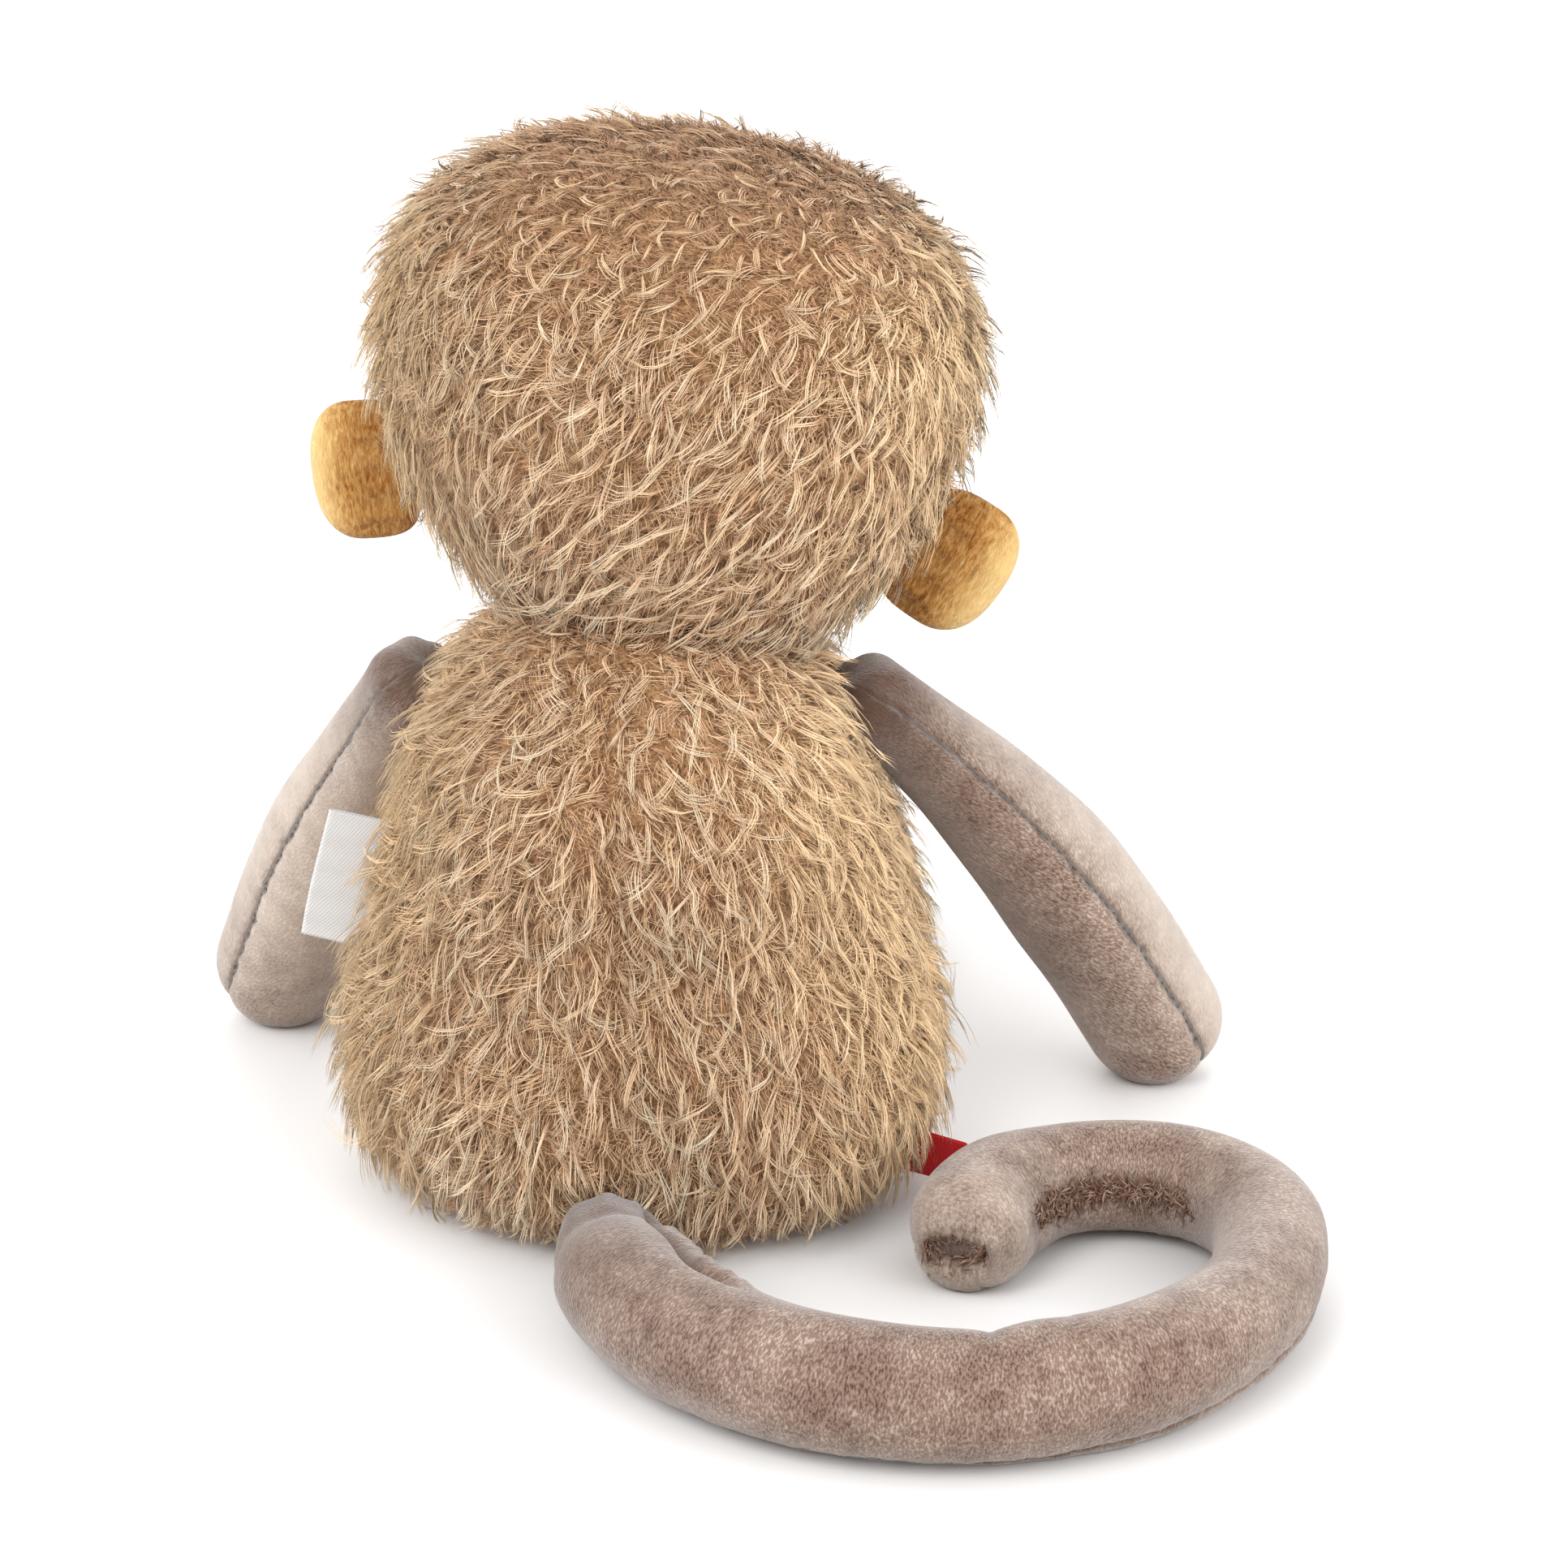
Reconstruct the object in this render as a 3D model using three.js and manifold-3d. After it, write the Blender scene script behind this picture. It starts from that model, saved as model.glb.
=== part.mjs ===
// A sitting stuffed monkey: shaggy body and head, plush arms, legs and ears, and a long curled tail.
// Millimetres and degrees. +Z is up, the toy faces -Y and its own left hand is at +X.
// The origin is the middle of the flat underside that it sits on.
import * as THREE from 'three';
import { mergeVertices } from 'three/addons/utils/BufferGeometryUtils.js';
import Module from 'manifold-3d';

const wasm = await Module();
wasm.setup();

// Cloths and clearances
const FUR_CLOTH = 4.5;
const PLUSH_CLOTH = 2.2;
const EAR_CLOTH = 1.6;
const SEAM_GAP = 0.3;
const FILL_GAP = 0.3;
const SEAT_GAP = 0.6;
const FLOOR_FLAT = 0.5;

// Body, a pear with a round upper end that the head turns on
const BODY_HALF_WIDTH = 71.5;
const BODY_HALF_DEPTH = 61;
const BODY_WIDEST_HEIGHT = 28;
const BODY_PEAR_HEIGHT = 141;
const SEAT_HALF_WIDTH = 50;
const SEAT_PANEL_INSET = 4;
const SIDE_SEAM_DEPTH = 8;
const NECK_BALL_HEIGHT = 101;
const NECK_BALL_DEPTH = 5;
const NECK_BALL_RADIUS = 55;
const NECK_GAP = 2.4;
const NECK_THREAD_THICKNESS = 0.8;
const NECK_THREAD_RADIUS = 26;
const POUCH_RADIUS = 34;
const POUCH_HEIGHT = 30;

// Head, an egg that leans to the toy's right
const HEAD_HALF_WIDTH = 71;
const HEAD_HALF_DEPTH = 61;
const HEAD_CROWN = 52;
const HEAD_CHIN = 82;
const HEAD_RISE = 106;
const HEAD_FORWARD = 15;
const HEAD_SHIFT = 4.5;
const HEAD_LEAN = 7;
const FACE_HALF_WIDTH = 41;
const FACE_HALF_HEIGHT = 38;
const FACE_DROP = 8;

// Face pieces
const MUZZLE_HALF_WIDTH = 26;
const MUZZLE_HALF_DEPTH = 17;
const MUZZLE_HALF_HEIGHT = 18;
const MUZZLE_DROP = 23;
const NOSE_HALF_WIDTH = 7.5;
const NOSE_HALF_DEPTH = 4.5;
const NOSE_HALF_HEIGHT = 5;
const NOSE_RISE = 8;
const EYE_SPACING = 33;
const EYE_DROP = -3;
const EYE_RADIUS = 5.5;
const EYE_RISE = 3.6;
const EYE_SHANK_RADIUS = 1.8;
const EYE_SHANK_LENGTH = 9.5;
const WASHER_RADIUS = 6;
const WASHER_THICKNESS = 1.4;

// Ears
const EAR_REACH = 17.5;
const EAR_HALF_HEIGHT = 17;
const EAR_HALF_THICKNESS = 4.8;
const EAR_ROOT_RADIUS = 4;
const EAR_DROP = 39;

// Arms, with the angle that each paw is turned outwards from straight ahead
const SHOULDER_SIDE = 54.5;
const SHOULDER_FORWARD = 3;
const SHOULDER_HEIGHT = 123;
const ARM_LENGTH = 141;
const ARM_ROOT_RADIUS = 11;
const PAW_RADIUS = 16;
const LEFT_ARM_TURN = 33;
const LEFT_ARM_BOW = 4;
const RIGHT_ARM_TURN = 48;
const RIGHT_ARM_BOW = 8;
const ARM_LOWEST_SWING = -6;

// Legs
const HIP_SIDE = 32;
const LEG_LENGTH = 88;
const LEG_ROOT_RADIUS = 12;
const LEG_STAND_OFF = 9;
const FOOT_RADIUS = 16;
const LEG_TURN = 7;
const LEG_BOW = 5;

// Tail, a straight root, a wide sweep and a tighter curl, with a soft joint half way
const TAIL_ROOT_RADIUS = 13.5;
const TAIL_FULL_RADIUS = 16.8;
const TAIL_SWELL_LENGTH = 34;
const TAIL_TIP_RADIUS = 13.6;
const TAIL_STAND_OFF = 11;
const TAIL_ROOT_TURN = 9;
const TAIL_ROOT_LENGTH = 5;
const TAIL_SWEEP_RADIUS = 78.5;
const TAIL_SWEEP_ANGLE = 180;
const TAIL_CURL_RADIUS = 35.5;
const TAIL_CURL_ANGLE = 165;
const TAIL_JOINT_AT = 178;
const TAIL_JOINT_TURN = 32;
const TAIL_SEAM_HEIGHT = 7;

// Sewn-in labels, each a folded ribbon that stands out of a side seam
const LABEL_THICKNESS = 0.8;
const LABEL_BOTTOM = 60;
const LABEL_LENGTH = 33;
const LABEL_REACH = 14;
const TAG_BOTTOM = 5.5;
const TAG_LENGTH = 10;
const TAG_REACH = 15;

// Faces round each form
const FINE_SEGMENTS = 24;
const COARSE_SEGMENTS = 12;
const FINE_RINGS = 6;
const COARSE_RINGS = 3;
const LIMB_SIDES = 10;
const CORE_SIDES = 6;
const LIMB_STEPS = 6;
const CAP_STEPS = 3;
const BALL_SEGMENTS = 20;
const REACH = 700;
const CUT_PAST = 2;
const CRUMB_VOLUME = 0.01;
const SLIVER = 0.02;

const UP = new THREE.Vector3(0, 0, 1);
const QUARTER_TURN = Math.PI / 2;
const radians = THREE.MathUtils.degToRad;
const smooth = (u) => THREE.MathUtils.smoothstep(u, 0, 1);

// A closed solid from a geometry, with its shared corners merged and flat slivers left out
function solidOf(geometry) {
  const bare = geometry.clone();
  bare.deleteAttribute('normal');
  bare.deleteAttribute('uv');
  const merged = mergeVertices(bare, 1e-4);
  const corners = [];
  for (let i = 0; i < merged.index.count; i += 3) {
    const [a, b, c] = [0, 1, 2].map((k) => merged.index.getX(i + k));
    if (a !== b && b !== c && c !== a) corners.push(a, b, c);
  }
  return new wasm.Manifold(new wasm.Mesh({
    numProp: 3,
    vertProperties: new Float32Array(merged.attributes.position.array),
    triVerts: new Uint32Array(corners),
  }));
}

// The named mesh of a finished solid, without the slivers and crumbs of no volume that a cut can leave
function meshOf(name, solid, material) {
  const clean = solid.simplify(SLIVER);
  const bodies = clean.decompose().filter((body) => body.volume() > CRUMB_VOLUME);
  const data = (bodies.length === 1 ? bodies[0] : clean).getMesh();
  const geometry = new THREE.BufferGeometry();
  geometry.setAttribute('position', new THREE.BufferAttribute(new Float32Array(data.vertProperties), 3));
  geometry.setIndex(new THREE.BufferAttribute(new Uint32Array(data.triVerts), 1));
  geometry.computeVertexNormals();
  const mesh = new THREE.Mesh(geometry, material.clone());
  mesh.name = name;
  return mesh;
}

// Everything on the side of a plane that its normal points to
function sideOf(point, normal) {
  const block = new THREE.BoxGeometry(REACH, REACH, REACH);
  block.translate(0, 0, REACH / 2);
  block.applyQuaternion(new THREE.Quaternion().setFromUnitVectors(UP, normal.clone().normalize()));
  block.translate(point.x, point.y, point.z);
  return solidOf(block);
}

const sideAlong = (axis, offset, sign) => {
  const normal = new THREE.Vector3();
  normal[axis] = sign;
  const point = new THREE.Vector3();
  point[axis] = offset;
  return sideOf(point, normal);
};

// A profile of [radius, height] pairs from the bottom of the axis to its top, turned about Z
function turned(profile, segments, depthRatio = 1) {
  const points = profile.map(([radius, height]) => new THREE.Vector2(Math.max(radius, 0), height));
  const lathe = new THREE.LatheGeometry(points, segments);
  lathe.rotateX(QUARTER_TURN);
  lathe.scale(1, depthRatio, 1);
  return solidOf(lathe);
}

function ball(centre, radius, segments = BALL_SEGMENTS) {
  const sphere = new THREE.SphereGeometry(radius, segments, segments / 2);
  sphere.rotateX(QUARTER_TURN);
  sphere.translate(centre.x, centre.y, centre.z);
  return solidOf(sphere);
}

// An egg about Z with its own height above and below its widest ring
function egg(centre, halfWidth, halfDepth, top, bottom, segments, rings) {
  const profile = [];
  for (let i = -rings; i <= rings; i += 1) {
    const angle = (i / rings) * QUARTER_TURN;
    profile.push([halfWidth * Math.cos(angle), Math.sin(angle) * (i < 0 ? bottom : top)]);
  }
  profile[0][0] = 0;
  profile[2 * rings][0] = 0;
  return turned(profile, segments, halfDepth / halfWidth).translate(centre.x, centre.y, centre.z);
}

// A closed tube along part of a path, with a ball or a flat at its start and a ball at its end
function tube({
  path, from = 0, to = 1, radiusAt, inset = 0, across = UP, phase = 0, sides, steps, flatEnd = false,
}) {
  const rings = [];
  const addRing = (centre, tangent, radius) => {
    const side = across.clone().addScaledVector(tangent, -across.dot(tangent)).normalize();
    const other = tangent.clone().cross(side);
    const ring = [];
    for (let k = 0; k < sides; k += 1) {
      const angle = ((k + phase) / sides) * 4 * QUARTER_TURN;
      ring.push(centre.clone()
        .addScaledVector(side, radius * Math.cos(angle))
        .addScaledVector(other, radius * Math.sin(angle)));
    }
    rings.push(ring);
  };
  const cap = (u, sign) => {
    const radius = radiusAt(u) - inset;
    const tangent = path.getTangentAt(u);
    for (let k = 1; k < CAP_STEPS; k += 1) {
      const angle = ((sign < 0 ? k : CAP_STEPS - k) / CAP_STEPS) * QUARTER_TURN;
      const centre = path.getPointAt(u).addScaledVector(tangent, sign * radius * Math.cos(angle));
      addRing(centre, tangent, radius * Math.sin(angle));
    }
    return path.getPointAt(u).addScaledVector(tangent, sign * radius);
  };
  const startPole = cap(from, -1);
  for (let i = 0; i <= steps; i += 1) {
    const u = from + ((to - from) * i) / steps;
    addRing(path.getPointAt(u), path.getTangentAt(u), radiusAt(u) - inset);
  }
  const endPole = flatEnd ? path.getPointAt(to) : cap(to, 1);
  const corners = rings.flat();
  const startIndex = corners.length;
  corners.push(startPole, endPole);
  const triangles = [];
  for (let k = 0; k < sides; k += 1) {
    const next = (k + 1) % sides;
    triangles.push(startIndex, next, k);
    for (let i = 0; i < rings.length - 1; i += 1) {
      const here = i * sides;
      const ahead = here + sides;
      triangles.push(here + k, here + next, ahead + next, here + k, ahead + next, ahead + k);
    }
    const last = (rings.length - 1) * sides;
    triangles.push(startIndex + 1, last + k, last + next);
  }
  const geometry = new THREE.BufferGeometry();
  geometry.setAttribute('position', new THREE.Float32BufferAttribute(corners.flatMap((p) => p.toArray()), 3));
  geometry.setIndex(triangles);
  return solidOf(geometry);
}

// Materials
const cloth = (color, roughness = 0.95) => new THREE.MeshStandardMaterial({ color, roughness, metalness: 0 });
const fur = cloth(0xc9a878);
const plush = cloth(0xa59487);
const earPlush = cloth(0xcf9f58);
const facePlush = cloth(0xb9a796);
const filling = cloth(0xf1efe9);
const pellets = cloth(0xe4e0d4, 0.6);
const thread = cloth(0x8a6f4e);
const satin = cloth(0xf2f1ef, 0.45);
const ribbon = cloth(0xc4151c, 0.6);
const darkPlastic = new THREE.MeshStandardMaterial({ color: 0x17120f, roughness: 0.15, metalness: 0 });
const washerPlastic = new THREE.MeshStandardMaterial({ color: 0xdedbd2, roughness: 0.4, metalness: 0 });
const noseThread = cloth(0x3a2a22, 0.7);

const toy = new THREE.Group();
const neckPivot = new THREE.Vector3(0, NECK_BALL_DEPTH, NECK_BALL_HEIGHT);

// Half width of the pear-shaped body at a height
function bodyWidthAt(height) {
  if (height < BODY_WIDEST_HEIGHT) {
    const cosine = (BODY_WIDEST_HEIGHT - height) / BODY_WIDEST_HEIGHT;
    return SEAT_HALF_WIDTH + (BODY_HALF_WIDTH - SEAT_HALF_WIDTH) * Math.sqrt(1 - cosine * cosine);
  }
  const sine = (height - BODY_WIDEST_HEIGHT) / (BODY_PEAR_HEIGHT - BODY_WIDEST_HEIGHT);
  return BODY_HALF_WIDTH * Math.sqrt(Math.max(1 - sine * sine, 0));
}

// Distance from the middle plane to the body's skin, at a side offset and a height
function bodyDepthAt(side, height) {
  const share = (bodyWidthAt(height) / BODY_HALF_WIDTH) ** 2 - (side / BODY_HALF_WIDTH) ** 2;
  return BODY_HALF_DEPTH * Math.sqrt(Math.max(share, 0));
}

// The pear-shaped part of the body, drawn in all round by an inset
function pearForm(inset, segments = FINE_SEGMENTS, rings = FINE_RINGS) {
  const width = BODY_HALF_WIDTH - inset;
  const seat = SEAT_HALF_WIDTH - inset;
  const profile = [[0, inset]];
  for (let i = 0; i <= rings / 2; i += 1) {
    const angle = (i / Math.floor(rings / 2)) * QUARTER_TURN;
    const height = BODY_WIDEST_HEIGHT - (BODY_WIDEST_HEIGHT - inset) * Math.cos(angle);
    profile.push([seat + (width - seat) * Math.sin(angle), height]);
  }
  for (let i = 1; i < rings; i += 1) {
    const angle = (i / rings) * QUARTER_TURN;
    const rise = BODY_PEAR_HEIGHT - inset - BODY_WIDEST_HEIGHT;
    profile.push([width * Math.cos(angle), BODY_WIDEST_HEIGHT + rise * Math.sin(angle)]);
  }
  profile.push([0, BODY_PEAR_HEIGHT - inset]);
  return turned(profile, segments, (BODY_HALF_DEPTH - inset) / width);
}

// The whole body form, with the round upper end that the head and the arms turn on
function bodyForm(inset, segments = FINE_SEGMENTS, rings = FINE_RINGS) {
  return pearForm(inset, segments, rings).add(ball(neckPivot, NECK_BALL_RADIUS - inset, segments));
}

// An upright oval block through the underside, in line with the seat
function seatBlock(halfWidth) {
  const block = new THREE.CylinderGeometry(halfWidth, halfWidth, FUR_CLOTH * 4, FINE_SEGMENTS);
  block.rotateX(QUARTER_TURN);
  block.scale(1, BODY_HALF_DEPTH / BODY_HALF_WIDTH, 1);
  return solidOf(block);
}

// Ball seats of the legs and the tail, which the body is hollowed for
const tailHeight = TAIL_ROOT_RADIUS - FLOOR_FLAT;
const tailPivot = new THREE.Vector3(0, bodyDepthAt(0, tailHeight) + TAIL_STAND_OFF, tailHeight);
const legHeight = FOOT_RADIUS - FLOOR_FLAT;
const hipDepth = bodyDepthAt(HIP_SIDE, legHeight) + LEG_STAND_OFF;
const hips = [1, -1].map((side) => new THREE.Vector3(side * HIP_SIDE, -hipDepth, legHeight));
const bodySeats = [
  ball(tailPivot, TAIL_ROOT_RADIUS + SEAT_GAP),
  ...hips.map((hip) => ball(hip, LEG_ROOT_RADIUS + SEAT_GAP)),
];

function makeBody() {
  let shell = bodyForm(0).subtract(bodyForm(FUR_CLOTH, COARSE_SEGMENTS, COARSE_RINGS));
  let core = bodyForm(FUR_CLOTH + FILL_GAP, COARSE_SEGMENTS, COARSE_RINGS);
  for (const seat of bodySeats) {
    shell = shell.subtract(seat);
    core = core.subtract(seat);
  }
  const panelWidth = SEAT_HALF_WIDTH - SEAT_PANEL_INSET;
  const sides = shell.subtract(seatBlock(panelWidth + SEAM_GAP));
  const half = SEAM_GAP / 2;
  const back = sides.intersect(sideAlong('y', SIDE_SEAM_DEPTH + half, 1));
  toy.add(meshOf('body_back_left', back.intersect(sideAlong('x', half, 1)), fur));
  toy.add(meshOf('body_back_right', back.intersect(sideAlong('x', -half, -1)), fur));
  toy.add(meshOf('body_front', sides.intersect(sideAlong('y', SIDE_SEAM_DEPTH - half, -1)), fur));
  toy.add(meshOf('seat_panel', shell.intersect(seatBlock(panelWidth)), plush));
  const pouch = (grow) => {
    const base = FUR_CLOTH + FILL_GAP - grow;
    const profile = [[0, base], [POUCH_RADIUS + grow, base]];
    for (let i = 1; i < COARSE_RINGS; i += 1) {
      const angle = (i / COARSE_RINGS) * QUARTER_TURN;
      profile.push([(POUCH_RADIUS + grow) * Math.cos(angle), base + (POUCH_HEIGHT + 2 * grow) * Math.sin(angle)]);
    }
    profile.push([0, base + POUCH_HEIGHT + 2 * grow]);
    return turned(profile, COARSE_SEGMENTS);
  };
  toy.add(meshOf('body_stuffing', core.subtract(pouch(FILL_GAP)), filling));
  toy.add(meshOf('pellet_pouch', pouch(0), pellets));
}

// The thread that gathers the neck, on the body's round top and clear of the head
function makeNeckThread() {
  const ballRadius = NECK_BALL_RADIUS + FILL_GAP + NECK_THREAD_THICKNESS / 2;
  const ring = new THREE.TorusGeometry(NECK_THREAD_RADIUS, NECK_THREAD_THICKNESS / 2, 5, FINE_SEGMENTS);
  const rise = Math.sqrt(ballRadius ** 2 - NECK_THREAD_RADIUS ** 2);
  ring.translate(neckPivot.x, neckPivot.y, neckPivot.z + rise);
  toy.add(meshOf('neck_thread', solidOf(ring), thread));
}

// The head is built about the neck pivot, then leaned to the toy's right
const head = new THREE.Group();
head.position.copy(neckPivot);
head.rotation.y = radians(-HEAD_LEAN);
toy.add(head);
const headCentre = new THREE.Vector3(HEAD_SHIFT, -HEAD_FORWARD, HEAD_RISE);

function headForm(inset, segments = FINE_SEGMENTS, rings = FINE_RINGS) {
  return egg(
    headCentre, HEAD_HALF_WIDTH - inset, HEAD_HALF_DEPTH - inset,
    HEAD_CROWN - inset, HEAD_CHIN - inset, segments, rings,
  );
}

// Half width of the head at a drop below its widest ring
const headWidthAt = (drop) => HEAD_HALF_WIDTH * Math.sqrt(1 - (drop / HEAD_CHIN) ** 2);

// A point on the front of the head and the way its skin faces, at a side offset and a drop
function headFront(side, drop) {
  const height = drop > 0 ? HEAD_CHIN : HEAD_CROWN;
  const share = 1 - (side / HEAD_HALF_WIDTH) ** 2 - (drop / height) ** 2;
  const depth = HEAD_HALF_DEPTH * Math.sqrt(share);
  const point = new THREE.Vector3(headCentre.x + side, headCentre.y - depth, headCentre.z - drop);
  const normal = new THREE.Vector3(
    side / HEAD_HALF_WIDTH ** 2, -depth / HEAD_HALF_DEPTH ** 2, -drop / height ** 2,
  ).normalize();
  return { point, normal };
}

// A solid made about Z, stood on a point along a normal
function standOn(solid, { point, normal }) {
  const turn = new THREE.Quaternion().setFromUnitVectors(UP, normal);
  const matrix = new THREE.Matrix4().compose(point, turn, new THREE.Vector3(1, 1, 1));
  return solid.transform(matrix.toArray());
}

function faceBlock(grow) {
  const block = new THREE.CylinderGeometry(1, 1, REACH / 2, FINE_SEGMENTS);
  block.scale(FACE_HALF_WIDTH + grow, 1, FACE_HALF_HEIGHT + grow);
  block.translate(headCentre.x, headCentre.y - REACH / 4, headCentre.z - FACE_DROP);
  return solidOf(block);
}

function makeHead() {
  const pocket = ball(new THREE.Vector3(), NECK_BALL_RADIUS + NECK_GAP, FINE_SEGMENTS);
  let shell = headForm(0).subtract(headForm(FUR_CLOTH, COARSE_SEGMENTS, COARSE_RINGS)).subtract(pocket);
  let core = headForm(FUR_CLOTH + FILL_GAP, COARSE_SEGMENTS, COARSE_RINGS).subtract(pocket);
  const eyes = { left: headFront(EYE_SPACING / 2, EYE_DROP), right: headFront(-EYE_SPACING / 2, EYE_DROP) };
  for (const [name, place] of Object.entries(eyes)) {
    const hole = new THREE.CylinderGeometry(EYE_SHANK_RADIUS + FILL_GAP, EYE_SHANK_RADIUS + FILL_GAP, REACH / 20, 12);
    hole.rotateX(QUARTER_TURN);
    shell = shell.subtract(standOn(solidOf(hole), place));
    const pocketDepth = EYE_SHANK_LENGTH + FILL_GAP - FUR_CLOTH;
    const pocketRing = new THREE.CylinderGeometry(
      WASHER_RADIUS + SEAT_GAP, WASHER_RADIUS + SEAT_GAP, pocketDepth, COARSE_SEGMENTS,
    );
    pocketRing.rotateX(QUARTER_TURN);
    pocketRing.translate(0, 0, -FUR_CLOTH - pocketDepth / 2);
    const washerPocket = standOn(solidOf(pocketRing), place);
    shell = shell.subtract(washerPocket);
    core = core.subtract(washerPocket);
    const eye = turned([
      [0, -EYE_SHANK_LENGTH], [EYE_SHANK_RADIUS, -EYE_SHANK_LENGTH], [EYE_SHANK_RADIUS, FILL_GAP],
      [EYE_RADIUS * 0.9, FILL_GAP], [EYE_RADIUS, FILL_GAP + EYE_RISE * 0.3],
      [EYE_RADIUS * 0.8, FILL_GAP + EYE_RISE * 0.72], [EYE_RADIUS * 0.45, FILL_GAP + EYE_RISE * 0.94],
      [0, FILL_GAP + EYE_RISE],
    ], COARSE_SEGMENTS);
    head.add(meshOf(`eye_${name}`, standOn(eye, place), darkPlastic));
    const ring = new THREE.CylinderGeometry(WASHER_RADIUS, WASHER_RADIUS, WASHER_THICKNESS, COARSE_SEGMENTS);
    ring.rotateX(QUARTER_TURN);
    const bore = new THREE.CylinderGeometry(
      EYE_SHANK_RADIUS + FILL_GAP, EYE_SHANK_RADIUS + FILL_GAP, WASHER_THICKNESS * CUT_PAST, 12,
    );
    bore.rotateX(QUARTER_TURN);
    const washerHeight = -FUR_CLOTH - FILL_GAP - WASHER_THICKNESS / 2;
    const washer = solidOf(ring).subtract(solidOf(bore)).translate(0, 0, washerHeight);
    head.add(meshOf(`eye_washer_${name}`, standOn(washer, place), washerPlastic));
  }
  const earSeam = headCentre.y;
  const half = SEAM_GAP / 2;
  head.add(meshOf('head_back', shell.intersect(sideAlong('y', earSeam + half, 1)), fur));
  const front = shell.intersect(sideAlong('y', earSeam - half, -1));
  const sides = front.subtract(faceBlock(SEAM_GAP));
  head.add(meshOf('head_side_left', sides.intersect(sideAlong('x', headCentre.x + half, 1)), fur));
  head.add(meshOf('head_side_right', sides.intersect(sideAlong('x', headCentre.x - half, -1)), fur));
  head.add(meshOf('face_panel', front.intersect(faceBlock(0)), facePlush));
  head.add(meshOf('head_stuffing', core, filling));
}

function makeMuzzle() {
  const seat = headFront(0, MUZZLE_DROP);
  const form = (inset) => egg(
    seat.point, MUZZLE_HALF_WIDTH - inset, MUZZLE_HALF_DEPTH - inset,
    MUZZLE_HALF_HEIGHT - inset, MUZZLE_HALF_HEIGHT - inset, COARSE_SEGMENTS, COARSE_RINGS,
  );
  const clear = headForm(-FILL_GAP);
  const shell = form(0).subtract(form(PLUSH_CLOTH)).subtract(clear);
  head.add(meshOf('muzzle', shell, facePlush));
  head.add(meshOf('muzzle_stuffing', form(PLUSH_CLOTH + FILL_GAP).subtract(clear), filling));
  const slope = NOSE_RISE / MUZZLE_HALF_HEIGHT;
  const tip = seat.point.clone();
  tip.y -= MUZZLE_HALF_DEPTH * Math.sqrt(1 - slope * slope);
  tip.z += NOSE_RISE;
  const pad = egg(
    tip, NOSE_HALF_WIDTH, NOSE_HALF_DEPTH, NOSE_HALF_HEIGHT, NOSE_HALF_HEIGHT, COARSE_SEGMENTS, COARSE_RINGS,
  );
  head.add(meshOf('nose', pad.subtract(form(-FILL_GAP)), noseThread));
}

// Each ear stands on the skin at its drop, square to the outline, and folds about its rounded root
function earPlace(side) {
  const slope = Math.atan2(
    HEAD_HALF_WIDTH ** 2 * EAR_DROP, HEAD_CHIN ** 2 * headWidthAt(EAR_DROP),
  );
  const place = new THREE.Group();
  const out = EAR_ROOT_RADIUS + FILL_GAP;
  place.position.set(
    headCentre.x + side * (headWidthAt(EAR_DROP) + out * Math.cos(slope)),
    headCentre.y, headCentre.z - EAR_DROP - out * Math.sin(slope),
  );
  place.rotation.y = side * slope;
  head.add(place);
  return place;
}

function makeEar(name, side) {
  const form = (inset) => {
    const disc = new THREE.SphereGeometry(1, COARSE_SEGMENTS, COARSE_RINGS * 2);
    disc.scale(EAR_REACH - inset, EAR_HALF_THICKNESS - inset, EAR_HALF_HEIGHT - inset);
    const root = new THREE.CylinderGeometry(
      EAR_ROOT_RADIUS - inset, EAR_ROOT_RADIUS - inset, EAR_HALF_HEIGHT * 2 * CUT_PAST, COARSE_SEGMENTS,
    );
    root.rotateX(QUARTER_TURN);
    return solidOf(disc).intersect(sideAlong('x', 0, side).add(solidOf(root)));
  };
  const shell = form(0).subtract(form(EAR_CLOTH));
  const place = earPlace(side);
  const half = SEAM_GAP / 2;
  place.add(meshOf(`ear_${name}_front`, shell.intersect(sideAlong('y', -half, -1)), earPlush));
  place.add(meshOf(`ear_${name}_back`, shell.intersect(sideAlong('y', half, 1)), earPlush));
  place.add(meshOf(`ear_${name}_batting`, form(EAR_CLOTH + FILL_GAP), filling));
}

// A limb's two plush halves, each on its own side of a seam, and its filling, clear of what it turns in
function addLimb(name, form, clear, [first, second], [firstSide, secondSide]) {
  const shell = form(0, LIMB_SIDES).subtract(form(PLUSH_CLOTH, CORE_SIDES)).subtract(clear);
  toy.add(meshOf(`${name}_${first}`, shell.intersect(firstSide), plush));
  toy.add(meshOf(`${name}_${second}`, shell.intersect(secondSide), plush));
  toy.add(meshOf(`${name}_stuffing`, form(PLUSH_CLOTH + FILL_GAP, CORE_SIDES).subtract(clear), filling));
}

const levelSides = (height) => [
  sideAlong('z', height + SEAM_GAP / 2, 1),
  sideAlong('z', height - SEAM_GAP / 2, -1),
];

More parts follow.
